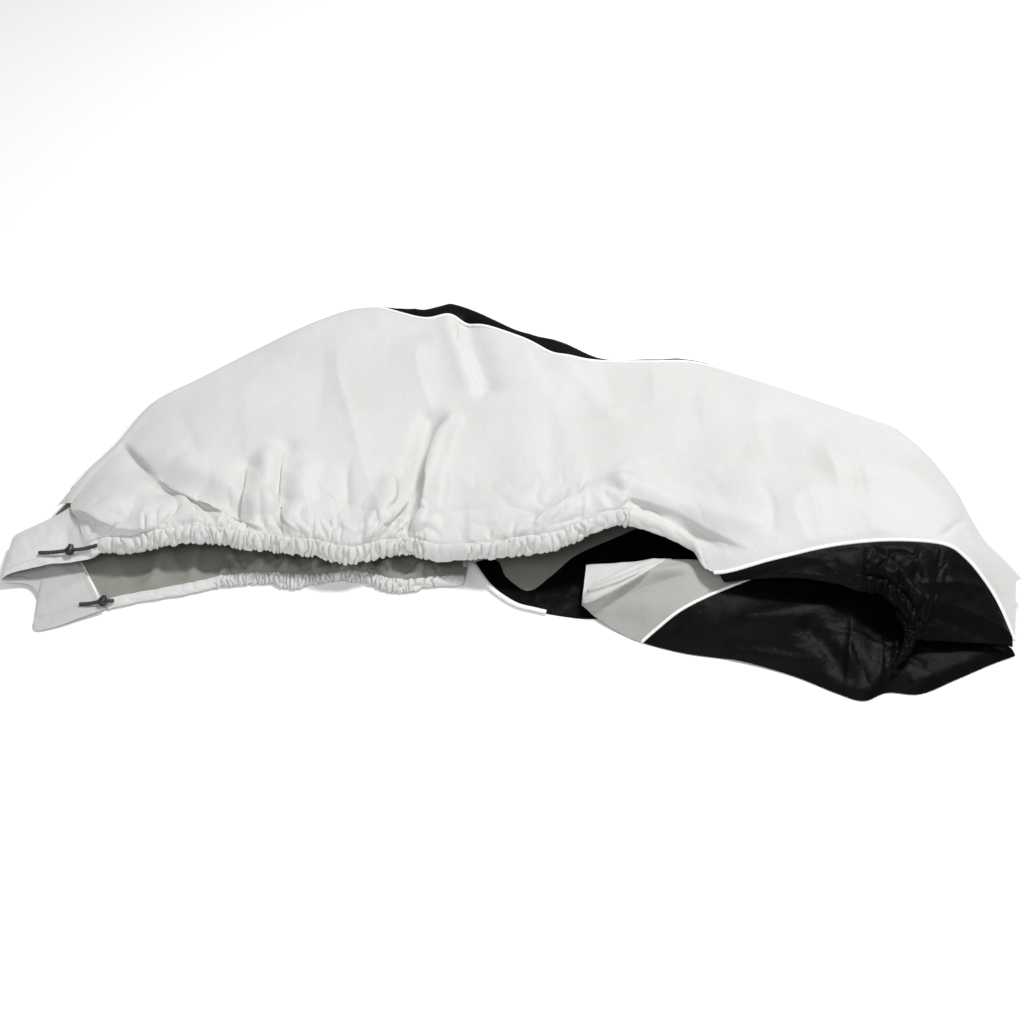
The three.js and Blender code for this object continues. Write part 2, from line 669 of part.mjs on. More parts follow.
function addPiece(name, geometry, color, roughness = 0.8) {
  geometry.translate(-CENTRE_X, -CENTRE_Y, 0);
  const material = new THREE.MeshStandardMaterial({ color, roughness, metalness: 0 });
  const mesh = new THREE.Mesh(geometry, material);
  mesh.name = name;
  cover.add(mesh);
  return mesh;
}

addPiece('starboard_panel', starboardPanel(), GREY);
addPiece('centre_strip', centreStrip(), BLACK);
addPiece('port_panel', portPanel(), GREY);
addPiece('transom_panel', transomPanel(), GREY);
addPiece('bow_panel', bowPanel(), BLACK);
addPiece('bow_band', bowBand(), BLACK);
addPiece('bow_fold', archPart(0, -1, 10), GREY);
addPiece('bow_apron', archPart(FOLD_ROWS.length - 1, 1, 20), BLACK);

const upperRows = range(0, lastRow, lastRow * FINE);
const bowRows = range(15, lastRow, (lastRow - 15) * FINE);
addPiece('starboard_piping', piping(upperRows.map((place) => upper.point(place, upper.row(place).pipe))), WHITE, 0.6);
addPiece('port_piping', piping([...portPlaces, lastRow - 0.5, lastRow].map(footPoint)), WHITE, 0.6);
addPiece('bow_piping', piping(bowRows.map((place) => upper.point(place, upper.row(place).length))), WHITE, 0.6);
addPiece('band_piping', piping(bandPipingPath()), WHITE, 0.6);
addPiece('fold_piping', piping(range(0, 1, 8).map((share) => archPoint(FOLD_SPLIT, share))), WHITE, 0.6);

addPiece('upper_cord', cordTube(UPPER_CORD, CORD_RADIUS), BLACK, 0.7);
addPiece('lower_cord', cordTube(LOWER_CORD, CORD_RADIUS), BLACK, 0.7);
addPiece('upper_lock', cordLock(UPPER_CORD, UPPER_CORD[4], new THREE.Vector3(0, 1, 0.3)), BLACK, 0.45);
addPiece('lower_lock', cordLock(LOWER_CORD, LOWER_CORD[2], new THREE.Vector3(0, 1, 0)), BLACK, 0.45);

export default cover;
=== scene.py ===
"""Dressed model of a fitted watercraft cover, taken off its craft and laid on its side."""
import logging
import math
from abc import ABC, abstractmethod
from dataclasses import dataclass, field
from enum import Enum
from typing import Callable, Sequence

import bmesh
import bpy
import numpy as np
from mathutils import Matrix, Vector


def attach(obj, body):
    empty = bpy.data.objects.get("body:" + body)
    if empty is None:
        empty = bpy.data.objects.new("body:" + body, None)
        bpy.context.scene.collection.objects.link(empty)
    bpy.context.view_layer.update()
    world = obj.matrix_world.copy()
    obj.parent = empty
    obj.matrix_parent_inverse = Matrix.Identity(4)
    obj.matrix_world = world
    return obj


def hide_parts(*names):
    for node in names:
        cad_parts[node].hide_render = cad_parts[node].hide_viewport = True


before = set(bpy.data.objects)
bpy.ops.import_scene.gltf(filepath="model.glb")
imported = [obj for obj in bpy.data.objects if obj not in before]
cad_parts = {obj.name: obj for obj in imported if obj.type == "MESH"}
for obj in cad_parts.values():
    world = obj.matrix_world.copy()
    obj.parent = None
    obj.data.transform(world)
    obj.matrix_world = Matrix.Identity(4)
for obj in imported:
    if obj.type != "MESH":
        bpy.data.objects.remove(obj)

LOG = logging.getLogger("cover")
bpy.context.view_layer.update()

Array = np.ndarray
Form = Callable[[Array, Array], Array]
Colour = tuple[float, ...]
Rows = Sequence[Sequence[float]]
Piece = bpy.types.Object
Finish = bpy.types.Material
Socket = bpy.types.NodeSocket

# Driving sizes in millimetres, in the tables' own frame
CENTRE = np.array([4.9, 251.9, 0.0])
CLOTH = 2.4
SHEET = 1.0
PIPING_RADIUS = 3.4
SEAM_TUCK = 1.6
CASING = 30.0
FLAT_END = 0.12
STITCH_GAP = 1.6
STITCH_WIDTH = 1.1
STITCH_HEIGHT = 0.84
BACK_REACH = 58.0
FOLD_REACH = 42.0
FOLD_SPLIT = 4.0
ARC_STEPS = 16
FOLD_STEPS = 8
UPRIGHT = (0.0, 0.0, 1.0)
FLOOR_GAP = 0.7
STEEP_SIDE = 5.0
LEAN = 1.25
CORD_DIAMETER = 9.0
LOCK_LENGTH = 27.0
LOCK_RADIUS = 9.5
ARCH_BACK = 0.8
ARCH_SEED = 81
APRON_SEED = 83
BOW_GATHER_START = 3.2
BOW_GATHER_END = 7.6
STERN_HEM = 26.0

# The front view: what the camera looks at in the tables' frame, from where, and its picture
VIEW_TARGET = np.array([0.0, 220.0, 60.0])
VIEW_DISTANCE = 4600.0
VIEW_TILT = 38.0
VIEW_AHEAD = np.array([0.0, math.cos(math.radians(VIEW_TILT)), -math.sin(math.radians(VIEW_TILT))])
VIEW_UP = np.array([0.0, -VIEW_AHEAD[2], VIEW_AHEAD[1]])
VIEW_PLACE = VIEW_TARGET - VIEW_DISTANCE * VIEW_AHEAD
VIEW_FOCUS = 1846.2
VIEW_CENTRE = (509.0, 500.0)
PICTURE = 1024.0

# Upper side from stern to bow: hem edge, crest, heights on the way and where the ridge piping lies
UPPER_COLUMNS = "frontX frontY frontZ crestX crestY crestZ lip shoulder middle pipe"
UPPER_ROWS = (
    (-1013, 15, 42, -1090, 215, 50, 20, 82, 70, -60),
    (-968, 24, 52, -1042, 322, 76, 24, 104, 96, -54),
    (-900, 12, 60, -985, 410, 96, 28, 112, 112, -50),
    (-840, 23, 68, -914, 564, 118, 28, 120, 126, -47),
    (-742, 34, 74, -802, 646, 138, 28, 126, 142, -46),
    (-620, 10, 74, -649, 755, 166, 28, 132, 156, -44),
    (-465, -11, 68, -489, 852, 194, 28, 134, 166, -34),
    (-376, -29, 62, -384, 877, 208, 28, 132, 170, -14),
    (-253, 12, 56, -238, 853, 218, 28, 128, 172, 38),
    (-165, -12, 56, -141, 860, 226, 28, 128, 172, 54),
    (26, -23, 80, 27, 736, 222, 28, 146, 178, 22),
    (121, -17, 98, 127, 698, 216, 26, 150, 178, 58),
    (245, 31, 128, 239, 637, 200, 24, 160, 178, 6),
    (334, 9, 130, 370, 637, 198, 22, 166, 184, 5),
    (427, -42, 116, 480, 633, 198, 20, 172, 192, 4),
    (476, -125, 116, 613, 553, 200, 12, 182, 204, -10),
    (613, -122, 156, 757, 449, 208, 12, 204, 222, -34),
    (745, -95, 172, 861, 383, 208, 12, 210, 228, -40),
    (862, -85, 180, 951, 318, 206, 12, 212, 226, -40),
    (965, -83, 176, 1010, 224, 200, 10, 202, 212, -38),
    (1024, -91, 168, 1053, 104, 190, 8, 186, 194, -34),
    (1060, -108, 148, 1074, 16, 176, 7, 162, 172, -30),
    (1092, -137, 122, 1102, -48, 150, 5, 134, 146, -34),
    (1130, -188, 80, 1147, -76, 116, 5, 98, 112, -42),
    (1160, -268, 32, 1190, -112, 76, 5, 50, 66, -52),
)
BOW_SEAM_START = 15.0
STRIP_START = 0.6
STRIP_END = 23.5
HEM_END = 14.3

# Broad folds of the upper side, the same as in the solids: from, to, width and height
UPPER_FOLDS = (
    (-150, 420, -212, 70, 26, 20),
    (-196, 430, -258, 80, 30, -20),
    (-118, 780, -52, 540, 34, -22),
    (-160, 800, -100, 560, 30, 10),
    (-930, 300, -850, 200, 42, -16),
    (-850, 200, -600, 80, 38, -18),
    (-800, 270, -600, 120, 36, 13),
    (-960, 130, -860, 80, 34, 12),
    (-650, 270, -640, 90, 28, -13),
    (-560, 330, -550, 70, 28, -13),
    (-602, 300, -596, 90, 28, 10),
    (-500, 250, -520, 70, 28, 10),
    (-290, 210, -330, 50, 26, 13),
    (-205, 180, -300, 80, 26, 13),
    (20, 30, 260, 150, 34, 14),
    (290, 150, 560, -20, 34, 15),
    (300, 90, 480, -20, 26, -10),
    (160, 610, 250, 440, 40, 10),
    (560, 200, 900, 60, 60, -10),
    (720, 320, 820, 120, 40, 9),
)

# Port side on the floor, by the rows of the upper side
PORT_COLUMNS = "row frontX frontY lift"
PORT_ROWS = (
    (0, -945, -130, 9),
    (1, -889, -108, 9),
    (2, -830, -92, 9),
    (3, -770, -74, 9),
    (4, -681, -46, 9),
    (5, -580, -33, 9),
    (6, -472, -45, 9),
    (7, -371, -28, 9),
    (8, -260, -60, 9),
    (9, -153, -46, 9),
    (9.5, -112, -38, 8),
    (9.75, -106, 0, 6),
    (9.9, -108, 62, 3),
    (10, -39, 64, 0),
    (10.35, -6, -8, 0),
    (10.7, 44, -58, 0),
    (11.3, 98, -8, 0),
    (12, 160, 70, 0),
    (13, 252, 135, 0),
    (14, 350, 194, 0),
    (16, 560, 262, 0),
    (18, 800, 225, 0),
    (20, 930, 60, 0),
    (21.5, 985, -30, 0),
    (23, 1040, -75, 0),
)
PORT_HEM_END = 9.4
PORT_FOLDS = (
    (-860, -60, -840, 160, 22, 16),
    (-760, -40, -770, 180, 18, 14),
    (-600, 10, -640, 220, 18, 18),
    (-540, 10, -540, 240, 15, 16),
    (-470, 0, -440, 230, 16, 18),
    (-390, 10, -350, 220, 15, 16),
    (-300, 0, -260, 230, 16, 18),
    (-210, 0, -170, 240, 16, 14),
)

# Arch of cloth in front of the port side at the bow
FOLD_ROWS = (
    (172, -126, 14, 184, -30, 46, 18, 36, 42, 0),
    (196, -152, 10, 262, -36, 62, 22, 42, 54, 0),
    (228, -184, 6, 352, -44, 78, 22, 48, 64, 0),
    (264, -214, 3, 450, -56, 88, 22, 56, 76, 0),
    (306, -241, 2, 600, -92, 84, 20, 60, 78, 0),
    (402, -278, 2, 668, -70, 84, 20, 58, 76, 0),
    (520, -304, 2, 736, -62, 82, 20, 54, 72, 0),
    (640, -352, 2, 800, -84, 74, 20, 50, 66, 0),
    (738, -412, 2, 836, -118, 62, 20, 46, 56, 0),
    (792, -434, 2, 866, -190, 42, 20, 34, 40, 0),
    (848, -408, 2, 900, -210, 34, 18, 28, 32, 0),
    (922, -412, 2, 950, -200, 30, 18, 24, 28, 0),
    (1010, -366, 2, 1010, -190, 28, 16, 22, 26, 0),
    (1100, -316, 2, 1084, -190, 24, 12, 18, 22, 0),
    (1162, -286, 2, 1130, -222, 14, 8, 12, 13, 0),
)
FOLD_RIPPLES = (
    (190, -120, 420, -60, 16, 12),
    (205, -150, 400, -95, 12, -9),
    (560, -230, 800, -190, 34, 12),
    (520, -300, 700, -330, 20, 8),
    (690, -250, 770, -380, 24, -10),
)

# Black bow panel under the bow piping
BOW_COLUMNS = "top lowX lowY lowZ swell"
BOW_ROWS = (
    (15.1, 500, -142, 100, 0),
    (16, 632, -158, 128, 4),
    (17, 742, -178, 128, 8),
    (17.6, 800, -200, 122, 10),
    (18.2, 846, -210, 120, 12),
    (18.8, 884, -238, 108, 14),
    (19.3, 908, -272, 88, 16),
    (19.8, 918, -296, 66, 16),
    (20.4, 968, -292, 54, 16),
    (21.2, 1030, -290, 48, 14),
    (22, 1080, -288, 44, 10),
    (23, 1124, -286, 38, 6),
    (23.8, 1152, -284, 28, 2),
)

# Black band in the mouth, its outer edge by the rows of the port side
BAND_COLUMNS = "row outerX outerY"
BAND_ROWS = (
    (10, -90, 44),
    (10.35, -55, -31),
    (10.5, -31, -68),
    (10.7, 14, -111),
    (11, 60, -130),
    (11.3, 100, -143),
    (12, 176, -158),
    (13, 262, -150),
    (14, 360, -120),
    (15, 455, -96),
    (16, 575, -100),
    (17, 690, -112),
    (18, 790, -140),
    (19, 868, -170),
    (20, 912, -192),
    (21.5, 972, -188),
)
BAND_PIPING_END = 11.2

# Panel round the stern, from the back to the hem
TRANSOM_COLUMNS = "backX backY backZ hemX hemY hemZ arch"
TRANSOM_ROWS = (
    (-1094, 214, 48, -1019, 8, 42, 22),
    (-1118, 192, 38, -1064, -6, 44, 20),
    (-1168, 140, 42, -1130, -18, 42, 16),
    (-1206, 116, 36, -1190, -34, 36, 10),
    (-1219, 104, 26, -1212, -46, 26, 5),
    (-1206, 108, 15, -1196, -44, 16, 2),
    (-1168, 130, 10, -1146, -48, 10, 2),
    (-1142, 146, 8, -1112, -110, 8, 4),
    (-1130, 154, 7, -1108, -196, 4, 8),
    (-1120, 158, 6, -1062, -192, 5, 10),
    (-1112, 158, 5, -1004, -162, 8, 8),
    (-1106, 152, 4, -953, -136, 11, 3),
)

# Routes of the drawcord's two ends
UPPER_CORD = (
    (-992.5, 35, 66.4), (-1003, 32, 64.6), (-1016, 29, 62.6), (-1034, 24, 62.4), (-1056, 20, 63.6),
    (-1072, 18, 62), (-1090, 16.5, 60.2), (-1110, 15.5, 59.4), (-1132, 15, 59.4),
)
LOWER_CORD = (
    (-934.5, -112, 17.4), (-945, -115.5, 20.2), (-958, -119, 23), (-972, -121, 20.6),
    (-984, -122.5, 18.6), (-998, -124, 17.8), (-1014, -125, 17.6),
)

# Gathered end of the bow hem
TAIL_ROUTE = (
    (886.9, -236.8, 92.0), (902.7, -259.9, 82.0), (910.9, -286.1, 72.0), (902.7, -315.4, 62.0),
    (882.7, -346.5, 54.0), (861.8, -371.9, 44.0),
)

# Sharper folds, drawn on the view from the front: start, a pull point, end, height in millimetres,
# and the widths on the side under or left of the line and on the side over or right of it
WALL_FOLDS = (
    (122, 444, 138, 462, 156, 480, -13, 10, 3),
    (156, 479, 200, 496, 268, 532, 13, 3, 9),
    (184, 492, 206, 509, 234, 530, -7, 5, 2),
    (160, 481, 176, 496, 193, 512, 8, 14, 2.5),
    (193, 508, 194, 516, 193, 525, 6, 8, 2),
    (202, 498, 218, 514, 230, 528, 6, 7, 3),
    (250, 468, 249, 495, 247, 521, 7, 2.5, 12),
    (243, 478, 242, 500, 241, 520, -4, 7, 3),
    (286, 450, 287, 480, 281, 513, 7, 3, 11),
    (281, 509, 286, 520, 298, 530, 6, 2.5, 9),
    (279, 468, 278, 495, 275, 516, -4, 8, 3),
    (209, 455, 208, 478, 210, 500, -4, 9, 8),
    (349, 458, 345, 490, 350, 522, -6, 9, 5),
    (336, 495, 343, 508, 352, 500, -3, 2.5, 2.5),
    (334, 540, 333, 518, 343, 517, 5, 4, 3),
    (341, 515, 345, 533, 356, 533, 4, 3, 5),
    (393, 476, 392, 500, 378, 510, 8, 13, 3),
    (382, 505, 364, 516, 364, 542, 8, 11, 3),
    (427, 491, 396, 503, 385, 526, 8, 11, 3),
    (390, 510, 380, 524, 366, 540, 5, 8, 3),
    (447, 422, 437, 462, 424, 510, 15, 2.4, 30),
    (425, 490, 419, 508, 410, 524, -10, 6, 2),
    (389, 537, 396, 510, 406, 534, 7, 4, 4),
    (421, 521, 445, 510, 494, 510, -5, 3, 7),
    (418, 526, 433, 527, 441, 537, -5, 4, 2.5),
    (520, 540, 546, 520, 578, 496, 9, 16, 4),
    (503, 532, 540, 508, 580, 476, -5, 8, 18),
    (594, 495, 602, 508, 609, 518, 5, 9, 4),
    (604, 484, 614, 490, 632, 487, -5, 5, 5),
    (606, 493, 642, 491, 684, 513, 9, 5, 11),
    (628, 495, 616, 505, 616, 518, 5, 6, 3),
    (651, 500, 640, 510, 633, 521, -5, 3, 7),
    (650, 502, 657, 510, 663, 520, -4, 3, 3),
    (680, 511, 716, 528, 750, 548, 8, 4, 14),
    (640, 512, 690, 532, 735, 556, -5, 8, 6),
    (529, 350, 542, 372, 560, 392, -4, 5, 12),
    (388, 342, 410, 338, 434, 342, -3, 4, 4),
    (461, 326, 476, 362, 492, 402, 8, 4, 16),
    (459, 320, 461, 332, 459, 346, -6, 2, 2.5),
    (820, 436, 838, 466, 842, 504, 5, 12, 6),
    (850, 440, 862, 474, 868, 508, -5, 9, 5),
    (938, 542, 950, 528, 967, 518, -4, 2.5, 4),
    (600, 362, 611, 384, 613, 410, -4, 14, 6),
    (648, 360, 656, 380, 654, 404, 3, 6, 14),
    (700, 366, 690, 396, 700, 428, -3, 14, 8),
    (760, 392, 750, 430, 772, 470, 3, 16, 8),
    (758, 476, 780, 500, 772, 534, -4, 8, 5),
    (806, 482, 822, 508, 818, 536, 4, 8, 6),
    (906, 470, 918, 500, 938, 530, -3, 12, 6),
    (320, 330, 330, 380, 310, 440, -3, 18, 9),
    (240, 380, 252, 420, 244, 462, 3, 12, 20),
    (176, 410, 196, 436, 200, 470, -3, 16, 8),
    (545, 420, 560, 455, 545, 490, -3, 16, 9),
    (610, 430, 640, 462, 650, 490, 3, 18, 9),
    (700, 470, 726, 492, 732, 520, -3, 14, 7),
    (68, 514, 92, 508, 120, 528, 13, 2.5, 16),
    (116, 527, 134, 529, 156, 528, 7, 2.5, 12),
    (92, 518, 92, 526, 94, 534, -6, 3, 3),
    (258, 480, 275, 505, 291, 529, 6, 8, 3),
    (340, 500, 342, 503, 344, 505, -4, 3, 3),
)

BOW_FOLDS = (
    (905, 556, 925, 552, 952, 548, 5, 5, 4),
    (914, 598, 960, 604, 1012, 640, 8, 5, 10),
    (912, 612, 950, 616, 1000, 646, -6, 6, 6),
    (905, 588, 945, 578, 990, 588, 6, 9, 5),
    (880, 586, 900, 566, 930, 556, 5, 8, 5),
    (864, 592, 868, 570, 866, 552, 5, 5, 9),
    (845, 596, 838, 575, 822, 560, 4, 8, 5),
    (770, 575, 800, 572, 832, 580, 4, 6, 4),
    (740, 580, 790, 566, 840, 562, -4, 6, 8),
)
APRON_FOLDS = (
    (852, 606, 850, 650, 846, 690, 7, 3, 12),
    (847, 630, 862, 660, 872, 696, -6, 6, 5),
    (881, 628, 884, 660, 876, 694, 5, 5, 6),
    (905, 641, 955, 640, 1012, 646, -7, 5, 4),
    (885, 652, 940, 648, 1008, 651, 5, 9, 4),
    (720, 620, 770, 610, 835, 622, 5, 14, 8),
    (700, 640, 760, 636, 830, 664, -4, 10, 8),
    (760, 596, 800, 600, 842, 606, 4, 8, 5),
    (672, 636, 720, 650, 790, 668, 3, 8, 6),
    (888, 634, 908, 632, 930, 628, 8, 3, 4),
    (884, 643, 906, 645, 934, 650, 8, 3, 4),
    (884, 653, 902, 658, 926, 668, 7, 3, 4),
    (886, 664, 898, 670, 912, 682, 6, 3, 3),
    (893, 628, 898, 648, 891, 672, 7, 3, 9),
)
GREY_FOLDS = (
    (585, 600, 612, 586, 672, 559, 10, 4, 4),
    (589, 590, 618, 576, 668, 554, 6, 3, 3),
    (584, 607, 598, 612, 612, 622, -4, 3, 3),
    (602, 608, 625, 590, 660, 566, -5, 3, 3),
    (640, 572, 668, 568, 700, 572, 3, 10, 6),
    (620, 620, 650, 600, 690, 584, 3, 14, 8),
)
STERN_FOLDS = (
    (10, 549, 26, 547, 40, 549, -2, 3, 3),
    (30, 560, 52, 562, 72, 574, 4, 5, 4),
    (46, 600, 70, 588, 96, 574, 4, 6, 4),
    (52, 622, 70, 612, 92, 606, 4, 4, 4),
    (84, 522, 82, 536, 88, 552, 5, 3, 8),
    (64, 520, 70, 536, 66, 548, -4, 6, 4),
)

MOUTH_FOLDS = (
    (142, 552, 146, 568, 152, 584, -7, 3, 6),
    (116, 556, 121, 572, 126, 588, 5, 8, 6),
    (170, 548, 176, 566, 184, 582, 7, 8, 5),
    (221, 548, 225, 562, 230, 574, -9, 3, 4),
    (228, 548, 233, 560, 240, 572, 8, 3, 3),
    (238, 548, 244, 558, 252, 570, -9, 3, 3),
    (256, 552, 259, 560, 264, 568, -7, 2.5, 3),
    (266, 552, 272, 560, 280, 570, 8, 5, 4),
    (300, 556, 308, 564, 320, 572, 8, 5, 5),
    (334, 560, 340, 568, 352, 576, 7, 4, 4),
    (362, 556, 366, 566, 372, 578, 8, 5, 4),
    (392, 552, 390, 566, 394, 578, 7, 4, 4),
    (410, 552, 414, 564, 420, 576, 8, 4, 4),
)

# Where the elastic draws the hem in: from, to, width of a puff, strength
UPPER_GATHERS = (
    (-1040, -985, 32, 0.4),
    (-985, -880, 26, 0.75),
    (-880, -820, 13, 1.0),
    (-820, -700, 19, 0.95),
    (-700, -197, 15, 1.0),
    (-197, -102, 40, 0.3),
    (-102, 127, 22, 0.75),
    (127, 190, 16, 0.9),
    (190, 262, 34, 0.45),
    (262, 290, 14, 0.9),
    (290, 480, 60, 0.3),
)
PORT_GATHERS = (
    (-970, -700, 46, 0.3),
    (-700, -262, 10.5, 1.0),
    (-262, -165, 18, 1.0),
    (-165, -120, 30, 0.4),
    (-120, -60, 60, 0.2),
)
# Where the ruffles of the port hem hang out further, as folds on its length alone
HEM_LUMPS = (
    (-545, 0, -505, 0, 16, 13),
    (-490, 0, -400, 0, 12, -8),
    (-300, 0, -230, 0, 26, 7),
    (-200, 0, -170, 0, 18, -7),
)


class Facing(Enum):
    """The way that the outer side of a sheet looks."""

    UP = (0.0, 0.0, 1.0)
    DOWN = (0.0, 0.0, -1.0)
    BACK = (0.0, 1.0, 0.3)
    FRONT = (0.0, -1.0, 0.5)
    STERN = (-1.0, 0.0, -0.6)


def metres(points: Array) -> Array:
    """Moves points in the tables' millimetres to the cover's own frame.

    Args:
        points: Array of points.

    Returns:
        The points in metres, round the middle of the plan.
    """
    return (points - CENTRE) / 1000.0


def ease(low: float, high: float, value: Array) -> Array:
    """Rises smoothly from 0 at low to 1 at high."""
    share = np.clip((value - low) / (high - low), 0.0, 1.0)
    return share * share * (3.0 - 2.0 * share)


def unit(vectors: Array) -> Array:
    """Scales each vector to length 1."""
    return vectors / np.maximum(np.linalg.norm(vectors, axis=-1, keepdims=True), 1e-9)


def hermite(
    share: Array, span: Array, low: Array, high: Array, slope_low: Array, slope_high: Array
) -> Array:
    """Smooth value between two knots.

    Args:
        share: Share of the way between the knots.
        span: Distance between the knots.
        low: Value at the first knot.
        high: Value at the second knot.
        slope_low: Slope at the first knot.
        slope_high: Slope at the second knot.

    Returns:
        The values.
    """
    two = share * share
    three = two * share
    return (
        (2 * three - 3 * two + 1) * low
        + (three - 2 * two + share) * span * slope_low
        + (3 * two - 2 * three) * high
        + (three - two) * span * slope_high
    )


def smooth_rows(knots: Array, heights: Array, run: Array) -> Array:
    """Smooth curve for each point through knots of its own, flat at the last one.

    Args:
        knots: One row of knots for each point.
        heights: One row of values for each point.
        run: Where each point lies along its knots.

    Returns:
        The value at each point.
    """
    slopes = np.empty_like(heights)
    slopes[:, 1:-1] = (heights[:, 2:] - heights[:, :-2]) / (knots[:, 2:] - knots[:, :-2])
    slopes[:, 0] = (heights[:, 1] - heights[:, 0]) / (knots[:, 1] - knots[:, 0])
    slopes[:, -1] = 0.0
    at = np.clip(run, knots[:, 0], knots[:, -1])
    index = np.sum(at[:, None] > knots[:, 1:-1], axis=1)
    take = np.arange(len(run))
    span = knots[take, index + 1] - knots[take, index]
    share = (at - knots[take, index]) / span
    low, high = heights[take, index], heights[take, index + 1]
    return hermite(share, span, low, high, slopes[take, index], slopes[take, index + 1])


@dataclass
class RowTable:
    """A table of rows with named columns, read smoothly between its rows."""

    columns: str
    rows: Rows
    key: str = ""
    names: list[str] = field(init=False)
    knots: Array = field(init=False)
    values: Array = field(init=False)
    slopes: Array = field(init=False)

    def __post_init__(self) -> None:
        """Works out the knots and the slopes of the columns."""
        self.names = self.columns.split()
        self.values = np.array(self.rows, float)
        self.knots = np.arange(len(self.rows), dtype=float)
        if self.key:
            self.knots = self.values[:, self.names.index(self.key)]
        self.slopes = np.empty_like(self.values)
        steps = self.knots[:, None]
        self.slopes[1:-1] = (self.values[2:] - self.values[:-2]) / (steps[2:] - steps[:-2])
        self.slopes[0] = (self.values[1] - self.values[0]) / (steps[1] - steps[0])
        self.slopes[-1] = (self.values[-1] - self.values[-2]) / (steps[-1] - steps[-2])

    @property
    def last(self) -> float:
        """Place of the last row."""
        return float(self.knots[-1])

    def at(self, place: Array) -> dict[str, Array]:
        """Reads the columns at fractional places.

        Args:
            place: Places along the table.

        Returns:
            The value of every column at each place.
        """
        at = np.clip(place, self.knots[0], self.knots[-1])
        index = np.clip(np.searchsorted(self.knots, at, side="left") - 1, 0, len(self.knots) - 2)
        span = (self.knots[index + 1] - self.knots[index])[:, None]
        share = (at - self.knots[index])[:, None] / span
        low, high = self.values[index], self.values[index + 1]
        found = hermite(share, span, low, high, self.slopes[index], self.slopes[index + 1])
        return {name: found[:, i] for i, name in enumerate(self.names)}


def corner(row: dict[str, Array], edge: str, height: float = 0.0) -> Array:
    """Points of a named edge of a table's rows.

    Args:
        row: The columns at each place.
        edge: Name that the edge's columns start with.
        height: Height of the points where the table holds none.

    Returns:
        The points.
    """
    x = row[edge + "X"]
    return np.stack([x, row[edge + "Y"], row.get(edge + "Z", np.full_like(x, height))], axis=1)


def run_along(line: Array) -> Array:
    """Length of a line up to each of its points."""
    return np.concatenate([[0.0], np.cumsum(np.linalg.norm(np.diff(line, axis=0), axis=1))])


def pulled_curve(start: Array, pull: Array, end: Array, steps: Array) -> Array:
    """Points of a curve that leaves for a pull point and arrives from it."""
    return (1 - steps) ** 2 * start + 2 * steps * (1 - steps) * pull + steps**2 * end


def half_turn(row: Array, rows: int) -> Array:
    """Cosine that falls from 1 to -1 over the first rows, for a sheet that turns round an edge."""
    return np.cos(np.pi * np.clip(row / rows, 0.0, 1.0))


def fold_height(folds: Rows, x: Array, y: Array) -> Array:
    """Height that a table of broad folds adds on the plan.

    Args:
        folds: Rows of from, to, width and height.
        x: Places along the cover.
        y: Places across it.

    Returns:
        The added heights.
    """
    height = np.zeros_like(x)
    for from_x, from_y, to_x, to_y, width, rise in folds:
        dx, dy = to_x - from_x, to_y - from_y
        along = np.clip(((x - from_x) * dx + (y - from_y) * dy) / (dx * dx + dy * dy), 0.0, 1.0)
        off_x = x - from_x - along * dx
        off_y = y - from_y - along * dy
        height += rise * np.exp(-(off_x**2 + off_y**2) / width**2)
    return height


def photo_place(points: Array) -> tuple[Array, Array]:
    """Where points stand in the front view, in its pixels.

    Args:
        points: Points in the tables' millimetres.

    Returns:
        The places across and down.
    """
    from_eye = points - VIEW_PLACE
    scale = VIEW_FOCUS / (from_eye @ VIEW_AHEAD)
    return VIEW_CENTRE[0] + scale * from_eye[:, 0], VIEW_CENTRE[1] - scale * (from_eye @ VIEW_UP)


def drawn_shift(folds: Rows, points: Array) -> tuple[Array, Array, Array]:
    """How folds drawn on the front view move the cloth of a sheet.

    A raised fold also leans over its steep side, so that a shade lies under it.

    Args:
        folds: Rows of three points, height and two widths.
        points: Points of the sheet in the tables' millimetres.

    Returns:
        The added heights, and how far the cloth leans to the right and down in the view.
    """
    across, down = photo_place(points)
    height, lean_x, lean_y = (np.zeros(len(points)) for _ in range(3))
    steps = np.linspace(0.0, 1.0, FOLD_STEPS + 1)[:, None]
    for *route, rise, under, over in folds:
        start, pull, end = np.array(route, float).reshape(3, 2)
        line = pulled_curve(start, pull, end, steps)
        margin = 3.2 * max(under, over)
        low, high = line.min(0) - margin, line.max(0) + margin
        inside = np.flatnonzero((across > low[0]) & (across < high[0]) & (down > low[1]) & (down < high[1]))
        if not len(inside):
            continue
        x, y = across[inside], down[inside]
        nearest = np.full(len(x), 1e9)
        signed = np.zeros(len(x))
        along = np.zeros(len(x))
        for k in range(FOLD_STEPS):
            ax, ay = line[k]
            dx, dy = line[k + 1] - line[k]
            share = np.clip(((x - ax) * dx + (y - ay) * dy) / (dx * dx + dy * dy), 0.0, 1.0)
            off_x = x - ax - share * dx
            off_y = y - ay - share * dy
            away = np.hypot(off_x, off_y)
            closer = away < nearest
            nearest = np.where(closer, away, nearest)
            signed = np.where(closer, dx * off_y - dy * off_x, signed)
            along = np.where(closer, (k + share) / FOLD_STEPS, along)
        width = np.where(signed > 0, under, over)
        taper = np.sin(np.pi * along) ** 0.6
        height[inside] += rise * taper * np.exp(-((nearest / width) ** 1.4))
        if rise > 0 and min(under, over) <= STEEP_SIDE:
            steep = unit(np.array([start[1] - end[1], end[0] - start[0]])) * (1.0 if under < over else -1.0)
            lean = LEAN * rise * taper * np.exp(-((nearest / (1.3 * width)) ** 2))
            lean_x[inside] += steep[0] * lean
            lean_y[inside] += steep[1] * lean
    return height, lean_x, lean_y


def drawn_folds(folds: Rows, points: Array) -> Array:
    """Height alone that folds drawn on the front view add to a sheet."""
    return drawn_shift(folds, points)[0]


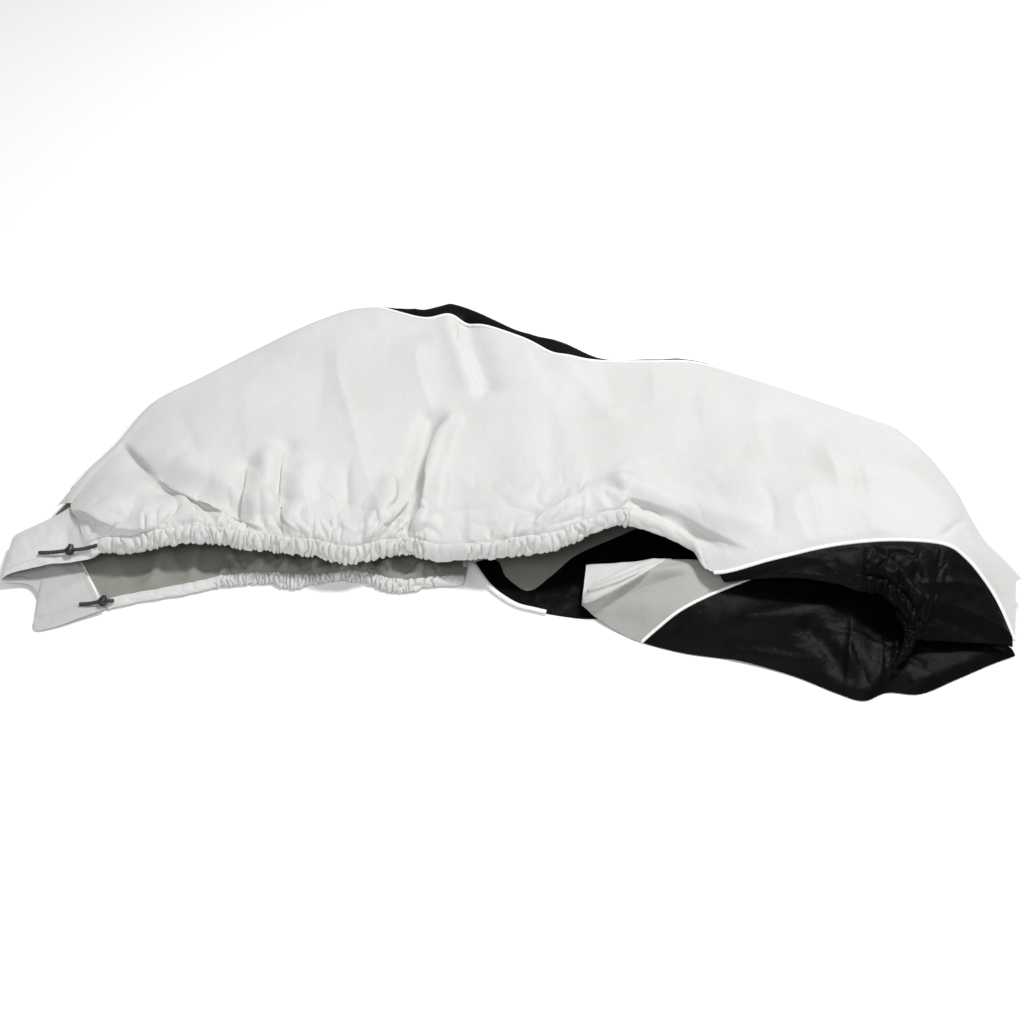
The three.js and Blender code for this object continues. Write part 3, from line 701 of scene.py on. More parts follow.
def soft_noise(u: Array, v: Array, seed: int) -> Array:
    """Smooth noise between -1 and 1 on a lattice of unit cells.

    Args:
        u: Places along the lattice.
        v: Places across it.
        seed: Seed of the lattice.

    Returns:
        The noise at each place.
    """
    size = 128
    lattice = np.random.default_rng(seed).uniform(-1.0, 1.0, (size, size))
    cell_u, cell_v = np.floor(u).astype(int), np.floor(v).astype(int)
    share_u, share_v = u - cell_u, v - cell_v
    share_u = share_u**3 * (share_u * (share_u * 6 - 15) + 10)
    share_v = share_v**3 * (share_v * (share_v * 6 - 15) + 10)
    left, right = cell_u % size, (cell_u + 1) % size
    low, high = cell_v % size, (cell_v + 1) % size
    near = lattice[left, low] * (1 - share_u) + lattice[right, low] * share_u
    far = lattice[left, high] * (1 - share_u) + lattice[right, high] * share_u
    return near * (1 - share_v) + far * share_v


def ridges(u: Array, v: Array, seed: int) -> Array:
    """Noise with soft ridges, from 0 in its hollows to 1 on its ridges."""
    return (1.0 - np.abs(soft_noise(u, v, seed))) ** 2


@dataclass(frozen=True)
class Unevenness:
    """Soft unevenness of cloth: its height, its sizes along and across, its slant and its seed."""

    height: float
    along: float
    across: float
    seed: int
    slant: float = math.inf

    def at(self, x: Array, y: Array) -> Array:
        """Height at each place."""
        return self.height * soft_noise(x / self.along + y / self.slant, y / self.across, self.seed)

    def swell(self, x: Array) -> Array:
        """Height at each place along an edge."""
        return self.height * soft_noise(x / self.along, np.full_like(x, self.across), self.seed)


HEM_SWELL = Unevenness(3.0, 48.0, 3.5, 5)
HEM_SWAY = Unevenness(3.0, 21.0, 1.5, 6)
WALL_SWELL = Unevenness(1.6, 74.0, 130.0, 22, 400.0)
WALL_CRUMPLE = Unevenness(0.45, 26.0, 40.0, 23)
PORT_SWAY = Unevenness(4.0, 30.0, 0.5, 43)
PORT_CRUMPLE = Unevenness(0.9, 60.0, 60.0, 42)
STERN_SWELL = Unevenness(3.2, 46.0, 70.0, 51)
STERN_CRUMPLE = Unevenness(1.2, 17.0, 28.0, 52, 40.0)
STERN_HEM_ROLL = Unevenness(1.0, 15.0, 20.0, 53)
BOW_CRUMPLE = Unevenness(1.2, 24.0, 19.0, 63)
BAND_CRUMPLE = Unevenness(1.6, 15.0, 22.0, 72)


def cell_puffs(u: Array, v: Array, seed: int) -> Array:
    """Puffs of crumpled cloth in uneven cells of unit size, 0 in the creases between them and 1 on top.

    Args:
        u: Places along the cells.
        v: Places across them.
        seed: Seed of the cells.

    Returns:
        The height at each place.
    """
    size = 128
    jitter = np.random.default_rng(seed).uniform(0.1, 0.9, (size, size, 2))
    cell_u, cell_v = np.floor(u).astype(int), np.floor(v).astype(int)
    nearest = np.full(u.shape, 9.0)
    second = nearest.copy()
    for step_u in (-1, 0, 1):
        for step_v in (-1, 0, 1):
            spot = jitter[(cell_u + step_u) % size, (cell_v + step_v) % size]
            away = np.hypot(cell_u + step_u + spot[..., 0] - u, cell_v + step_v + spot[..., 1] - v)
            second = np.minimum(second, np.maximum(nearest, away))
            nearest = np.minimum(nearest, away)
    return 1.0 - (1.0 - np.clip(1.7 * (second - nearest), 0.0, 1.0)) ** 2


@dataclass
class HemDraw:
    """All that a drawn-in hem does to its cloth: the ruffled casing and the gathers behind it."""

    regions: Sequence[tuple[float, float, float, float]]
    seed: int
    casing: float
    depth: float
    count: tuple[Array, Array] = field(init=False)

    def __post_init__(self) -> None:
        """Counts the puffs along the hem."""
        ends, puffs = [self.regions[0][0]], [0.0]
        for start, end, width, _ in self.regions:
            ends.append(end)
            puffs.append(puffs[-1] + (end - start) / width)
        self.count = (np.array(ends), np.array(puffs))

    def strength(self, along: Array) -> Array:
        """How strongly the hem is drawn in at each place."""
        value = np.zeros_like(along)
        for start, end, _, strength in self.regions:
            value += strength * (ease(start - 9.0, start + 9.0, along) - ease(end - 9.0, end + 9.0, along))
        return value

    def puff(self, along: Array, run: Array) -> Array:
        """Height of the puffs of the casing, 0 in its creases.

        Args:
            along: Places along the hem.
            run: Distances from its edge.

        Returns:
            The heights, up to 1.
        """
        place = np.interp(along, *self.count)
        sway = 0.5 * soft_noise(place / 1.3, run / 13.0 + 9.0, self.seed + 3)
        rise = 0.4 * soft_noise(place / 0.9, run / 40.0, self.seed + 4)
        return cell_puffs(place + sway, run / (1.15 * self.casing) + rise, self.seed)

    def lens(self, run: Array, width: Array) -> Array:
        """Half thickness of the casing's section, as a share of its middle."""
        half = np.maximum(width, 1.0) / 2
        return np.sqrt(np.clip(1.0 - ((run - half) / half) ** 2, 0.0, 1.0))

    def casing_bulge(self, along: Array, run: Array, width: Array) -> Array:
        """How far the casing's cloth stands off its middle sheet."""
        strength = self.strength(along)
        round_part = 0.24 + 0.3 * (1.0 - strength) + 1.05 * strength * self.puff(along, run)
        return self.lens(run, width) * round_part * self.depth

    def wave(self, along: Array, run: Array) -> Array:
        """How far the gathers push the cloth out behind the stitch line.

        Args:
            along: Places along the hem.
            run: Distances from the hem's edge.

        Returns:
            The heights of the gathers.
        """
        behind = np.maximum(run - self.casing, 0.0)
        place = np.interp(along, *self.count)
        strength = self.strength(along)
        sway = soft_noise(place / 3.1, behind / 60.0 + 3.0, self.seed + 5)
        middle = cell_puffs(place / 2.2 + 0.6 * sway, behind / 62.0, self.seed + 1)
        broad = cell_puffs(place / 5.2 + 0.5 * sway, behind / 150.0, self.seed + 2)
        height = 0.75 * self.puff(along, run) * np.exp(-behind / 10.0) * ease(-6.0, 1.0, run - self.casing)
        height += 0.95 * middle * (behind / 18.0) * np.exp(1.0 - behind / 18.0)
        height += 0.9 * broad * (behind / 52.0) * np.exp(1.0 - behind / 52.0)
        stitched = np.exp(-(((run - self.casing) / 2.4) ** 2))
        return self.depth * (height * strength * (1.0 - 0.6 * stitched) - 0.16 * stitched)


@dataclass
class Shell:
    """Cloth that rises from its front edge to a crest and falls in a quarter ellipse behind it."""

    table: RowTable
    folds: Rows
    reach: float

    def row(self, place: Array) -> dict[str, Array]:
        """Reads the table at the places and adds the length of each row."""
        row = self.table.at(place)
        row["length"] = np.hypot(row["crestX"] - row["frontX"], row["crestY"] - row["frontY"])
        return row

    def outward(self, place: Array, edge: str = "crest") -> Array:
        """Direction on the plan square to the crest line or to the front edge.

        Args:
            place: Places along the shell.
            edge: Which edge to be square to.

        Returns:
            Unit vectors on the plan.
        """
        before = self.table.at(np.maximum(place - 0.8, 0.0))
        after = self.table.at(np.minimum(place + 0.8, self.table.last))
        dx, dy = after[edge + "X"] - before[edge + "X"], after[edge + "Y"] - before[edge + "Y"]
        return unit(np.stack([-dy, dx], axis=1))

    def slant(self, place: Array, edge: str) -> Array:
        """How much further a clearance reaches along a row that meets an edge at a slant."""
        row = self.row(place)
        along = unit(np.stack([row["crestX"] - row["frontX"], row["crestY"] - row["frontY"]], axis=1))
        return 1.0 / np.maximum(np.abs(np.sum(along * self.outward(place, edge), axis=1)), 0.3)

    def back_lengths(self, crest_height: Array) -> Array:
        """Lengths along the back of each row, at even steps of its angle."""
        middle = (np.arange(ARC_STEPS) + 0.5) * math.pi / (2 * ARC_STEPS)
        rates = np.hypot(self.reach * np.cos(middle), crest_height[:, None] * np.sin(middle))
        steps = rates * math.pi / (2 * ARC_STEPS)
        return np.concatenate([np.zeros((len(crest_height), 1)), np.cumsum(steps, axis=1)], axis=1)

    def point(self, place: Array, distance: Array) -> Array:
        """Points at signed distances from the crest, positive towards the front.

        Args:
            place: Places along the shell.
            distance: Distances from the crest, along the row.

        Returns:
            The points.
        """
        row = self.row(place)
        run = row["length"] - np.clip(distance, 0.0, row["length"])
        share = run / row["length"]
        x = row["frontX"] + (row["crestX"] - row["frontX"]) * share
        y = row["frontY"] + (row["crestY"] - row["frontY"]) * share
        lip_run = np.minimum(CASING, 0.15 * row["length"])
        zero = np.zeros_like(lip_run)
        knots = np.stack([zero, lip_run, 0.3 * row["length"], 0.6 * row["length"], row["length"]], axis=1)
        heights = np.stack(
            [row["frontZ"], row["frontZ"] + row["lip"], row["shoulder"], row["middle"], row["crestZ"]], axis=1
        )
        fade = np.clip(distance / 60.0, 0.0, 1.0) * np.minimum(0.35 + run / 60.0, 1.0)
        z = smooth_rows(knots, heights, run) + fade * fold_height(self.folds, x, y)
        front = np.stack([x, y, z], axis=1)
        lengths = self.back_lengths(row["crestZ"])
        step = np.clip(np.sum(lengths < -distance[:, None], axis=1), 1, ARC_STEPS)
        take = np.arange(len(place))
        low, high = lengths[take, step - 1], lengths[take, step]
        in_step = np.minimum((-distance - low) / (high - low), 1.0)
        turn = (step - 1 + in_step) * math.pi / (2 * ARC_STEPS)
        back = corner(row, "crest") * np.array([1.0, 1.0, 0.0])
        back[:, :2] += self.outward(place) * (self.reach * np.sin(turn))[:, None]
        back[:, 2] = row["crestZ"] * np.cos(turn)
        return np.where((distance < 0)[:, None], back, front)

    def normal(self, place: Array, distance: Array) -> Array:
        """Outward directions square to the cloth.

        Args:
            place: Places along the shell.
            distance: Distances from the crest, along the row.

        Returns:
            Unit vectors.
        """
        low = np.maximum(place - 0.04, 0.0)
        high = np.minimum(place + 0.04, self.table.last)
        along = self.point(high, distance) - self.point(low, distance)
        across = self.point(place, distance - 2.0) - self.point(place, distance + 2.0)
        return unit(np.cross(along, across))


UPPER = Shell(RowTable(UPPER_COLUMNS, UPPER_ROWS), UPPER_FOLDS, BACK_REACH)
ARCH = Shell(RowTable(UPPER_COLUMNS, FOLD_ROWS), FOLD_RIPPLES, FOLD_REACH)
LAST_ROW = UPPER.table.last


def upper_front(place: Array) -> Array:
    """Front edge of the upper side."""
    return UPPER.point(place, UPPER.row(place)["length"])


def spaced_places(
    line: Callable[[Array], Array], first: float, last: float, count: int, weight: Callable[[Array], Array]
) -> Array:
    """Places along a table that are evenly far apart on a line, closer where the weight is high.

    Args:
        line: Gives the point of the line at each place.
        first: First place.
        last: Last place.
        count: Number of steps.
        weight: How dense the steps are at each place.

    Returns:
        The places, one more than the steps.
    """
    places = np.linspace(first, last, 1500)
    steps = np.linalg.norm(np.diff(line(places), axis=0), axis=1) * weight((places[1:] + places[:-1]) / 2)
    total = np.concatenate([[0.0], np.cumsum(steps)])
    return np.interp(np.linspace(0.0, total[-1], count + 1), total, places)


def flat_grid(columns: int, rows: int) -> tuple[bmesh.types.BMesh, Array, Array]:
    """Starts a flat grid.

    Args:
        columns: Steps along it.
        rows: Steps across it.

    Returns:
        The grid with a UV map, and the column and the row of each corner.
    """
    bm = bmesh.new()
    bm.loops.layers.uv.new("UVMap")
    bmesh.ops.create_grid(bm, x_segments=columns, y_segments=rows, size=1.0, calc_uvs=True)
    flat = np.array([vert.co[:2] for vert in bm.verts])
    low, high = flat.min(0), flat.max(0)
    column, row = ((flat - low) / (high - low) * (columns, rows)).T
    return bm, column, row


def grid_sheet(name: str, columns: int, rows: int, form: Form, facing: Facing) -> Piece:
    """Makes a sheet from a flat grid whose corners are moved onto a form.

    Args:
        name: Name of the piece.
        columns: Steps along the sheet.
        rows: Steps across it.
        form: Gives the point in millimetres for each column and row.
        facing: The way that its outer side looks.

    Returns:
        The new object, with a UV map in metres of cloth.
    """
    bm, column, row = flat_grid(columns, rows)
    sharpen_border(bm)
    mesh = bpy.data.meshes.new(name)
    bm.to_mesh(mesh)
    bm.free()
    mesh.vertices.foreach_set("co", metres(form(column, row)).ravel())
    along = run_along(form(np.arange(columns + 1.0), np.full(columns + 1, rows * 0.6))) / 1000.0
    across = run_along(form(np.full(rows + 1, columns * 0.5), np.arange(rows + 1.0))) / 1000.0
    at = np.empty(len(mesh.loops), int)
    mesh.loops.foreach_get("vertex_index", at)
    uv = [np.interp(column, np.arange(columns + 1), along), np.interp(row, np.arange(rows + 1), across)]
    mesh.uv_layers[0].data.foreach_set("uv", np.stack(uv, axis=1)[at].ravel())
    mesh.update()
    face_out(mesh, Vector(facing.value))
    piece = bpy.data.objects.new(name, mesh)
    bpy.context.collection.objects.link(piece)
    return piece


def face_out(mesh: bpy.types.Mesh, way: Vector) -> None:
    """Turns the faces of an open sheet round if they look the other way on the whole, and smooths them.

    Args:
        mesh: Mesh of the sheet.
        way: The way that its outer side looks.
    """
    count = len(mesh.polygons)
    normals = np.empty(count * 3)
    areas = np.empty(count)
    mesh.polygons.foreach_get("normal", normals)
    mesh.polygons.foreach_get("area", areas)
    total = (normals.reshape(-1, 3) * areas[:, None]).sum(0)
    if Vector(total).dot(way) < 0:
        mesh.flip_normals()
    mesh.polygons.foreach_set("use_smooth", np.ones(count, bool))
    mesh.update()


def sharpen_border(bm: bmesh.types.BMesh) -> None:
    """Keeps the shading of a sheet apart from that of its thin rim."""
    for edge in bm.edges:
        edge.smooth = not edge.is_boundary


def thicken(piece: Piece) -> None:
    """Gives a sheet its thickness, its inner side in the next material."""
    solid = piece.modifiers.new("thickness", "SOLIDIFY")
    solid.thickness = SHEET / 1000.0
    solid.offset = 0.0
    solid.material_offset = 1


def closed_tube(name: str, points: Array, radii: Array, sides: int, widen: float = 1.0) -> Piece:
    """Makes a round or oval tube along points that never stand upright, closed at both ends.

    Args:
        name: Name of the piece.
        points: Points of its line, in millimetres.
        radii: Radius at each point.
        sides: Faces round it.
        widen: How much wider it is across than it is thick.

    Returns:
        The new object, with a UV map in metres along it and in turns round it.
    """
    bm, column, side = flat_grid(len(points) - 1, sides)
    column = np.round(column).astype(int)
    along = unit(np.gradient(points, axis=0))
    wide = unit(np.cross(along, UPRIGHT))
    thin = np.cross(wide, along)
    angle = 2 * np.pi * np.round(side) / sides
    ring = wide[column] * (widen * np.cos(angle))[:, None] + thin[column] * np.sin(angle)[:, None]
    placed = metres(points[column] + ring * radii[column][:, None])
    for vert, co in zip(bm.verts, placed):
        vert.co = co
    length = run_along(points)[-1] / 1000.0
    uv_layer = bm.loops.layers.uv["UVMap"]
    for face in bm.faces:
        for loop in face.loops:
            loop[uv_layer].uv.x *= length
    bmesh.ops.remove_doubles(bm, verts=bm.verts, dist=1e-6)
    bmesh.ops.holes_fill(bm, edges=[edge for edge in bm.edges if edge.is_boundary], sides=0)
    bmesh.ops.recalc_face_normals(bm, faces=bm.faces)
    return from_bmesh(name, bm)


def from_bmesh(name: str, bm: bmesh.types.BMesh) -> Piece:
    """Makes an object of a bmesh, smooth, and frees it.

    Args:
        name: Name of the object.
        bm: The bmesh.

    Returns:
        The new object.
    """
    mesh = bpy.data.meshes.new(name)
    bm.to_mesh(mesh)
    bm.free()
    mesh.polygons.foreach_set("use_smooth", np.ones(len(mesh.polygons), bool))
    piece = bpy.data.objects.new(name, mesh)
    bpy.context.collection.objects.link(piece)
    return piece


def settle(piece: Piece, finishes: Sequence[Finish], nodes: Sequence[str] = ()) -> None:
    """Fixes a piece to the cover, with its finish and the solids that it stands for.

    Args:
        piece: The piece.
        finishes: Materials, the outer side first.
        nodes: Solids that it stands for.
    """
    for finish in finishes:
        piece.data.materials.append(finish)
    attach(piece, "root")
    if nodes:
        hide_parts(*nodes)
    LOG.info("%s: %d faces", piece.name, len(piece.data.polygons))


# Finishes


class Recipe:
    """Nodes of one finish, with the few kinds that every finish uses."""

    def __init__(self, name: str) -> None:
        """Starts a material with its shader and its texture coordinates.

        Args:
            name: Name of the material.
        """
        self.material = bpy.data.materials.new(name)
        self.material.use_nodes = True
        self.nodes = self.material.node_tree.nodes
        self.links = self.material.node_tree.links
        self.shader = self.nodes["Principled BSDF"]
        self.place = self.nodes.new("ShaderNodeTexCoord")

    def node(self, kind: str, **values: float | tuple[float, ...]) -> bpy.types.Node:
        """Adds a node and sets its sockets by their names, with _ for a space."""
        node = self.nodes.new(f"ShaderNode{kind}")
        for name, value in values.items():
            node.inputs[name.replace("_", " ")].default_value = value
        return node

    def noise(self, **values: float) -> Socket:
        """Adds noise on the piece's own coordinates."""
        noise = self.node("TexNoise", **values)
        self.links.new(self.place.outputs["Object"], noise.inputs["Vector"])
        return noise.outputs["Fac"]

    def both(self, operation: str, parts: Sequence[Socket]) -> Socket:
        """Joins two heights.

        Args:
            operation: Kind of maths that joins them.
            parts: The two heights.

        Returns:
            The joint height.
        """
        joint = self.nodes.new("ShaderNodeMath")
        joint.operation = operation
        for part, socket in zip(parts, joint.inputs):
            self.links.new(part, socket)
        return joint.outputs["Value"]

    def tone(self, height: Socket, low: Colour, high: Colour, ends: tuple[float, float] = (0.0, 1.0)) -> None:
        """Colours the finish by a height.

        Args:
            height: The height.
            low: Colour of its low parts.
            high: Colour of its high parts.
            ends: The heights that have these colours.
        """
        ramp = self.nodes.new("ShaderNodeValToRGB")
        for element, position, colour in zip(ramp.color_ramp.elements, ends, (low, high)):
            element.position = position
            element.color = (*colour, 1.0)
        self.links.new(height, ramp.inputs["Fac"])
        self.links.new(ramp.outputs["Color"], self.shader.inputs["Base Color"])

    def gloss(self, height: Socket, low: float, high: float) -> None:
        """Sets the roughness by a height."""
        gloss = self.node("MapRange", To_Min=low, To_Max=high)
        self.links.new(height, gloss.inputs["Value"])
        self.links.new(gloss.outputs["Result"], self.shader.inputs["Roughness"])

    def relief(self, height: Socket, depth: float, strength: float = 1.0) -> None:
        """Raises the finish by a height, on top of any relief that it has.

        Args:
            height: The height.
            depth: Its depth in metres.
            strength: Share of it that shows.
        """
        bump = self.node("Bump", Strength=strength, Distance=depth)
        self.links.new(height, bump.inputs["Height"])
        for link in self.shader.inputs["Normal"].links:
            self.links.new(link.from_socket, bump.inputs["Normal"])
        self.links.new(bump.outputs["Normal"], self.shader.inputs["Normal"])


@dataclass(frozen=True)
class CoatedCloth:
    """Coated polyester: a fine plain weave, faint crinkles and a soft sheen."""

    name: str
    colour: Colour
    shade: Colour
    roughness: float
    sheen: float
    specular: float
    crinkle: float
    index: float = 1.4
    thread: float = 0.0009
    thread_depth: float = 0.00012

    def build(self) -> Finish:
        """Makes the material.

        Returns:
            The new material.
        """
        recipe = Recipe(self.name)
        shader = recipe.shader
        shader.inputs["Sheen Weight"].default_value = self.sheen
        shader.inputs["Sheen Roughness"].default_value = 0.45
        shader.inputs["Specular IOR Level"].default_value = self.specular
        shader.inputs["IOR"].default_value = self.index
        cloudy = recipe.noise(Scale=5.0, Detail=5.0)
        recipe.tone(cloudy, self.shade, self.colour, (0.3, 0.68))
        recipe.gloss(cloudy, self.roughness - 0.06, self.roughness + 0.08)
        recipe.relief(recipe.noise(Scale=75.0, Detail=3.0, Distortion=0.6), self.crinkle)
        threads = []
        for direction in ("X", "Y"):
            wave = recipe.node("TexWave", Scale=math.pi / (10.0 * self.thread))
            wave.bands_direction = direction
            recipe.links.new(recipe.place.outputs["UV"], wave.inputs["Vector"])
            threads.append(wave.outputs["Fac"])
        recipe.relief(recipe.both("MULTIPLY", threads), self.thread_depth, 0.35)
        return recipe.material


@dataclass(frozen=True)
class Moulded:
    """Plain plastic, vinyl or thread with a fine grain of its own."""

    name: str
    colour: Colour
    roughness: float
    grain: float
    depth: float

    def build(self) -> Finish:
        """Makes the material.

        Returns:
            The new material.
        """
        recipe = Recipe(self.name)
        grain = recipe.noise(Scale=self.grain, Detail=4.0)
        recipe.tone(grain, tuple(0.86 * part for part in self.colour), self.colour)
        recipe.gloss(grain, self.roughness - 0.07, self.roughness + 0.07)
        recipe.relief(grain, self.depth)
        return recipe.material


@dataclass(frozen=True)
class BraidedCord:
    """Black braid: two sets of strands that wind round the cord and cross."""

    name: str = "braided cord"
    colour: Colour = (0.022, 0.022, 0.024)
    pitch: float = 0.011
    strands: float = 8.0
    slant: float = 0.7854
    depth: float = 0.0006

    def build(self) -> Finish:
        """Makes the material on the cord's own UV map.

        Returns:
            The new material.
        """
        recipe = Recipe(self.name)
        recipe.shader.inputs["Roughness"].default_value = 0.62
        strands = []
        for slant in (self.slant, -self.slant):
            turned = recipe.node(
                "Mapping", Rotation=(0.0, 0.0, slant), Scale=(1.0 / self.pitch, self.strands / 4.0, 1.0)
            )
            recipe.links.new(recipe.place.outputs["UV"], turned.inputs["Vector"])
            wave = recipe.node("TexWave", Scale=0.45)
            recipe.links.new(turned.outputs["Vector"], wave.inputs["Vector"])
            strands.append(wave.outputs["Fac"])
        crossing = recipe.both("MAXIMUM", strands)
        # Painted shade in the grooves between strands and painted highlight on their tops
        low, high = (tuple(share * part for part in self.colour) for share in (0.4, 1.7))
        recipe.tone(crossing, low, high)
        recipe.relief(crossing, self.depth)
        return recipe.material


# In the order of the fields of Finishes
FINISHES = (
    CoatedCloth("grey coated cloth", (0.63, 0.635, 0.618), (0.585, 0.59, 0.572), 0.5, 0.06, 0.35, 0.0011),
    # Olive inner side of the grey cloth, made much darker than the flap's inner side as painted shade of the
    # mouth and undersides
    CoatedCloth("grey cloth inside painted shade", (0.27, 0.27, 0.245), (0.22, 0.22, 0.195), 0.7, 0.03, 0.2, 0.0008),
    CoatedCloth("grey flap inside", (0.52, 0.52, 0.51), (0.47, 0.47, 0.46), 0.6, 0.05, 0.25, 0.0008),
    # Painted shade: darker grey put on the bow fold's faces under the roll
    CoatedCloth("grey cloth painted shade under roll", (0.4, 0.4, 0.385), (0.36, 0.36, 0.345), 0.6, 0.05, 0.25, 0.0008),
    CoatedCloth("black coated cloth", (0.0025,) * 3, (0.0018,) * 3, 0.44, 0.0, 0.14, 0.0012, 1.3),
    CoatedCloth("black cloth inside", (0.01,) * 3, (0.007,) * 3, 0.6, 0.0, 0.15, 0.0008, 1.3),
    Moulded("white vinyl", (0.93, 0.93, 0.92), 0.42, 220.0, 0.0002),
    Moulded("lock plastic", (0.014, 0.014, 0.015), 0.38, 900.0, 0.0001),
    Moulded("grey thread", (0.3, 0.3, 0.29), 0.6, 1500.0, 0.0001),
    Moulded("black thread", (0.03, 0.03, 0.03), 0.5, 1500.0, 0.0001),
    BraidedCord(),
)


@dataclass(frozen=True)
class Finishes:
    """Every finish of the cover, built once."""

    grey: Finish
    # Inner side of the grey cloth, darkened as painted shade
    grey_inside_painted_shade: Finish
    flap_inside: Finish
    # Painted shade under the bow fold's roll
    folded: Finish
    black: Finish
    black_inside: Finish
    vinyl: Finish
    lock: Finish
    grey_thread: Finish
    black_thread: Finish
    braid: Finish

    def grey_cloth(self) -> "Cloth":
        """Grey cloth with its olive inner side, darkened as painted shade."""
        return Cloth("grey_cloth", self.grey_thread, (self.grey, self.grey_inside_painted_shade))

    def black_cloth(self) -> "Cloth":
        """Black cloth, its inner side a little duller."""
        return Cloth("black_cloth", self.black_thread, (self.black, self.black_inside))

    @classmethod
    def build(cls) -> "Finishes":
        """Makes the materials.

        Returns:
            The finishes.
        """
        return cls(*(kind.build() for kind in FINISHES))


@dataclass(frozen=True)
class Cloth:
    """A kind of cloth: its slot in the record, its thread and the materials of its two sides."""

    slot: str
    thread: Finish
    sides: tuple[Finish, ...]

    def cut(self, name: str, steps: tuple[int, int], form: Form, facing: Facing, node: str) -> Piece:
        """Makes a sheet of this cloth on a form.

        Args:
            name: Name of the piece.
            steps: Steps along the sheet and across it.
            form: Gives the point in millimetres for each column and row.
            facing: The way that its outer side looks.
            node: Solid that it stands for.

        Returns:
            The new object.
        """
        piece = grid_sheet(name, *steps, form, facing)
        thicken(piece)
        settle(piece, self.sides, [node])
        return piece

    def sew(self, name: str, line: Array, normals: Array, length: float = 4.2) -> None:
        """Sews a row of small stitches along a line.

        Args:
            name: Name of the piece.
            line: Points of the line in millimetres, close together.
            normals: Outward direction of the cloth, at each point or for all of them.
            length: Length of a stitch.
        """
        total = run_along(line)
        normals = np.broadcast_to(normals, line.shape)
        pitch = length + STITCH_GAP
        bm = bmesh.new()
        for k in range(int(total[-1] / pitch)):
            ends = np.array([k * pitch, k * pitch + length])
            both = np.stack([np.interp(ends, total, line[:, i]) for i in range(3)], axis=1)
            out = unit(np.array([np.interp(ends.mean(), total, normals[:, i]) for i in range(3)]))
            along = unit(both[1] - both[0])
            side = unit(np.cross(out, along))
            halves = zip(along * length / 2, side * STITCH_WIDTH / 2, out * STITCH_HEIGHT / 2)
            axes = Matrix([[*row] for row in halves]).to_4x4()
            centre = metres(both.mean(0) + out * (SHEET / 2 + 0.15))
            axes = Matrix.Translation(Vector(centre)) @ Matrix.Scale(0.001, 4) @ axes
            bmesh.ops.create_icosphere(bm, subdivisions=1, radius=1.0, matrix=axes)
        settle(from_bmesh(name, bm), (self.thread,))


@dataclass
class GatheredSide(ABC):
    """A grey side whose front edge is drawn in by a casing."""

    finishes: Finishes
    node: str
    name: str
    table: RowTable
    draw: HemDraw
    casing_end: float
    casing_fade: float
    past_end: float
    plain_steps: float
    columns: int
    inner_rows: int
    outer_rows: int
    inner_over: float
    outer_over: float

    @abstractmethod
    def edge(self, place: Array) -> Array:
        """Front edge of the side."""

    @abstractmethod
    def place_cloth(self, place: Array, run: Array, side: Array) -> Array:
        """Points of the cloth at distances from the edge, on one of its sides."""

    def hemmed(self, place: Array) -> Array:
        """1 where there is a casing and 0 past its end."""
        return 1.0 - ease(self.casing_end, self.casing_end + self.casing_fade, place)

    def closed(self, place: Array) -> Array:
        """Flattens the casing at its stern end, where it meets the next panel."""
        return FLAT_END + (1.0 - FLAT_END) * ease(0.0, 0.3, place)

    def step_weight(self, place: Array) -> Array:
        """How close together the casing's steps are, more so where it is gathered."""
        gathered = ease(0.3, 0.9, self.draw.strength(self.table.at(place)["frontX"]))
        return self.plain_steps + (1.0 - self.plain_steps) * gathered

    def hem(self) -> Piece:
        """Makes the casing: its inner side, the edge and its outer side.

        Returns:
            The new object.
        """
        last = self.casing_end + self.past_end
        places = spaced_places(self.edge, 0.0, last, self.columns, self.step_weight)

        def form(column: Array, row: Array) -> Array:
            """Point of the cloth for each column and row."""
            place = np.interp(column, np.arange(self.columns + 1), places)
            width = CASING * self.hemmed(place)
            inner = (width + self.inner_over) / 2 * (1.0 + half_turn(row, self.inner_rows))
            outer = (width + self.outer_over) / 2 * (1.0 - half_turn(row - self.inner_rows, self.outer_rows))
            on_inner = row < self.inner_rows
            return self.place_cloth(place, np.where(on_inner, inner, outer), np.where(on_inner, -1.0, 1.0))

        steps = (self.columns, self.inner_rows + self.outer_rows)
        return self.finishes.grey_cloth().cut(f"{self.name}_hem", steps, form, Facing.FRONT, self.node)

    def stitch(self, first: float, count: int, run: float, side: float, normal: Array | None = None) -> None:
        """Sews the casing down.

        Args:
            first: Place of the first stitch.
            count: Points of the line that is sewn.
            run: How far behind the edge the line is.
            side: Side of the cloth that the line is on.
            normal: The way that the cloth looks, or None to take it from the upper side's form.
        """
        place = spaced_places(self.edge, first, self.casing_end, count, np.ones_like)
        runs = np.full_like(place, run)
        line = self.place_cloth(place, runs, np.full_like(place, side))
        if normal is None:
            normal = UPPER.normal(place, UPPER.row(place)["length"] - runs)
        self.finishes.grey_cloth().sew(f"{self.name}_hem_stitches", line, normal)


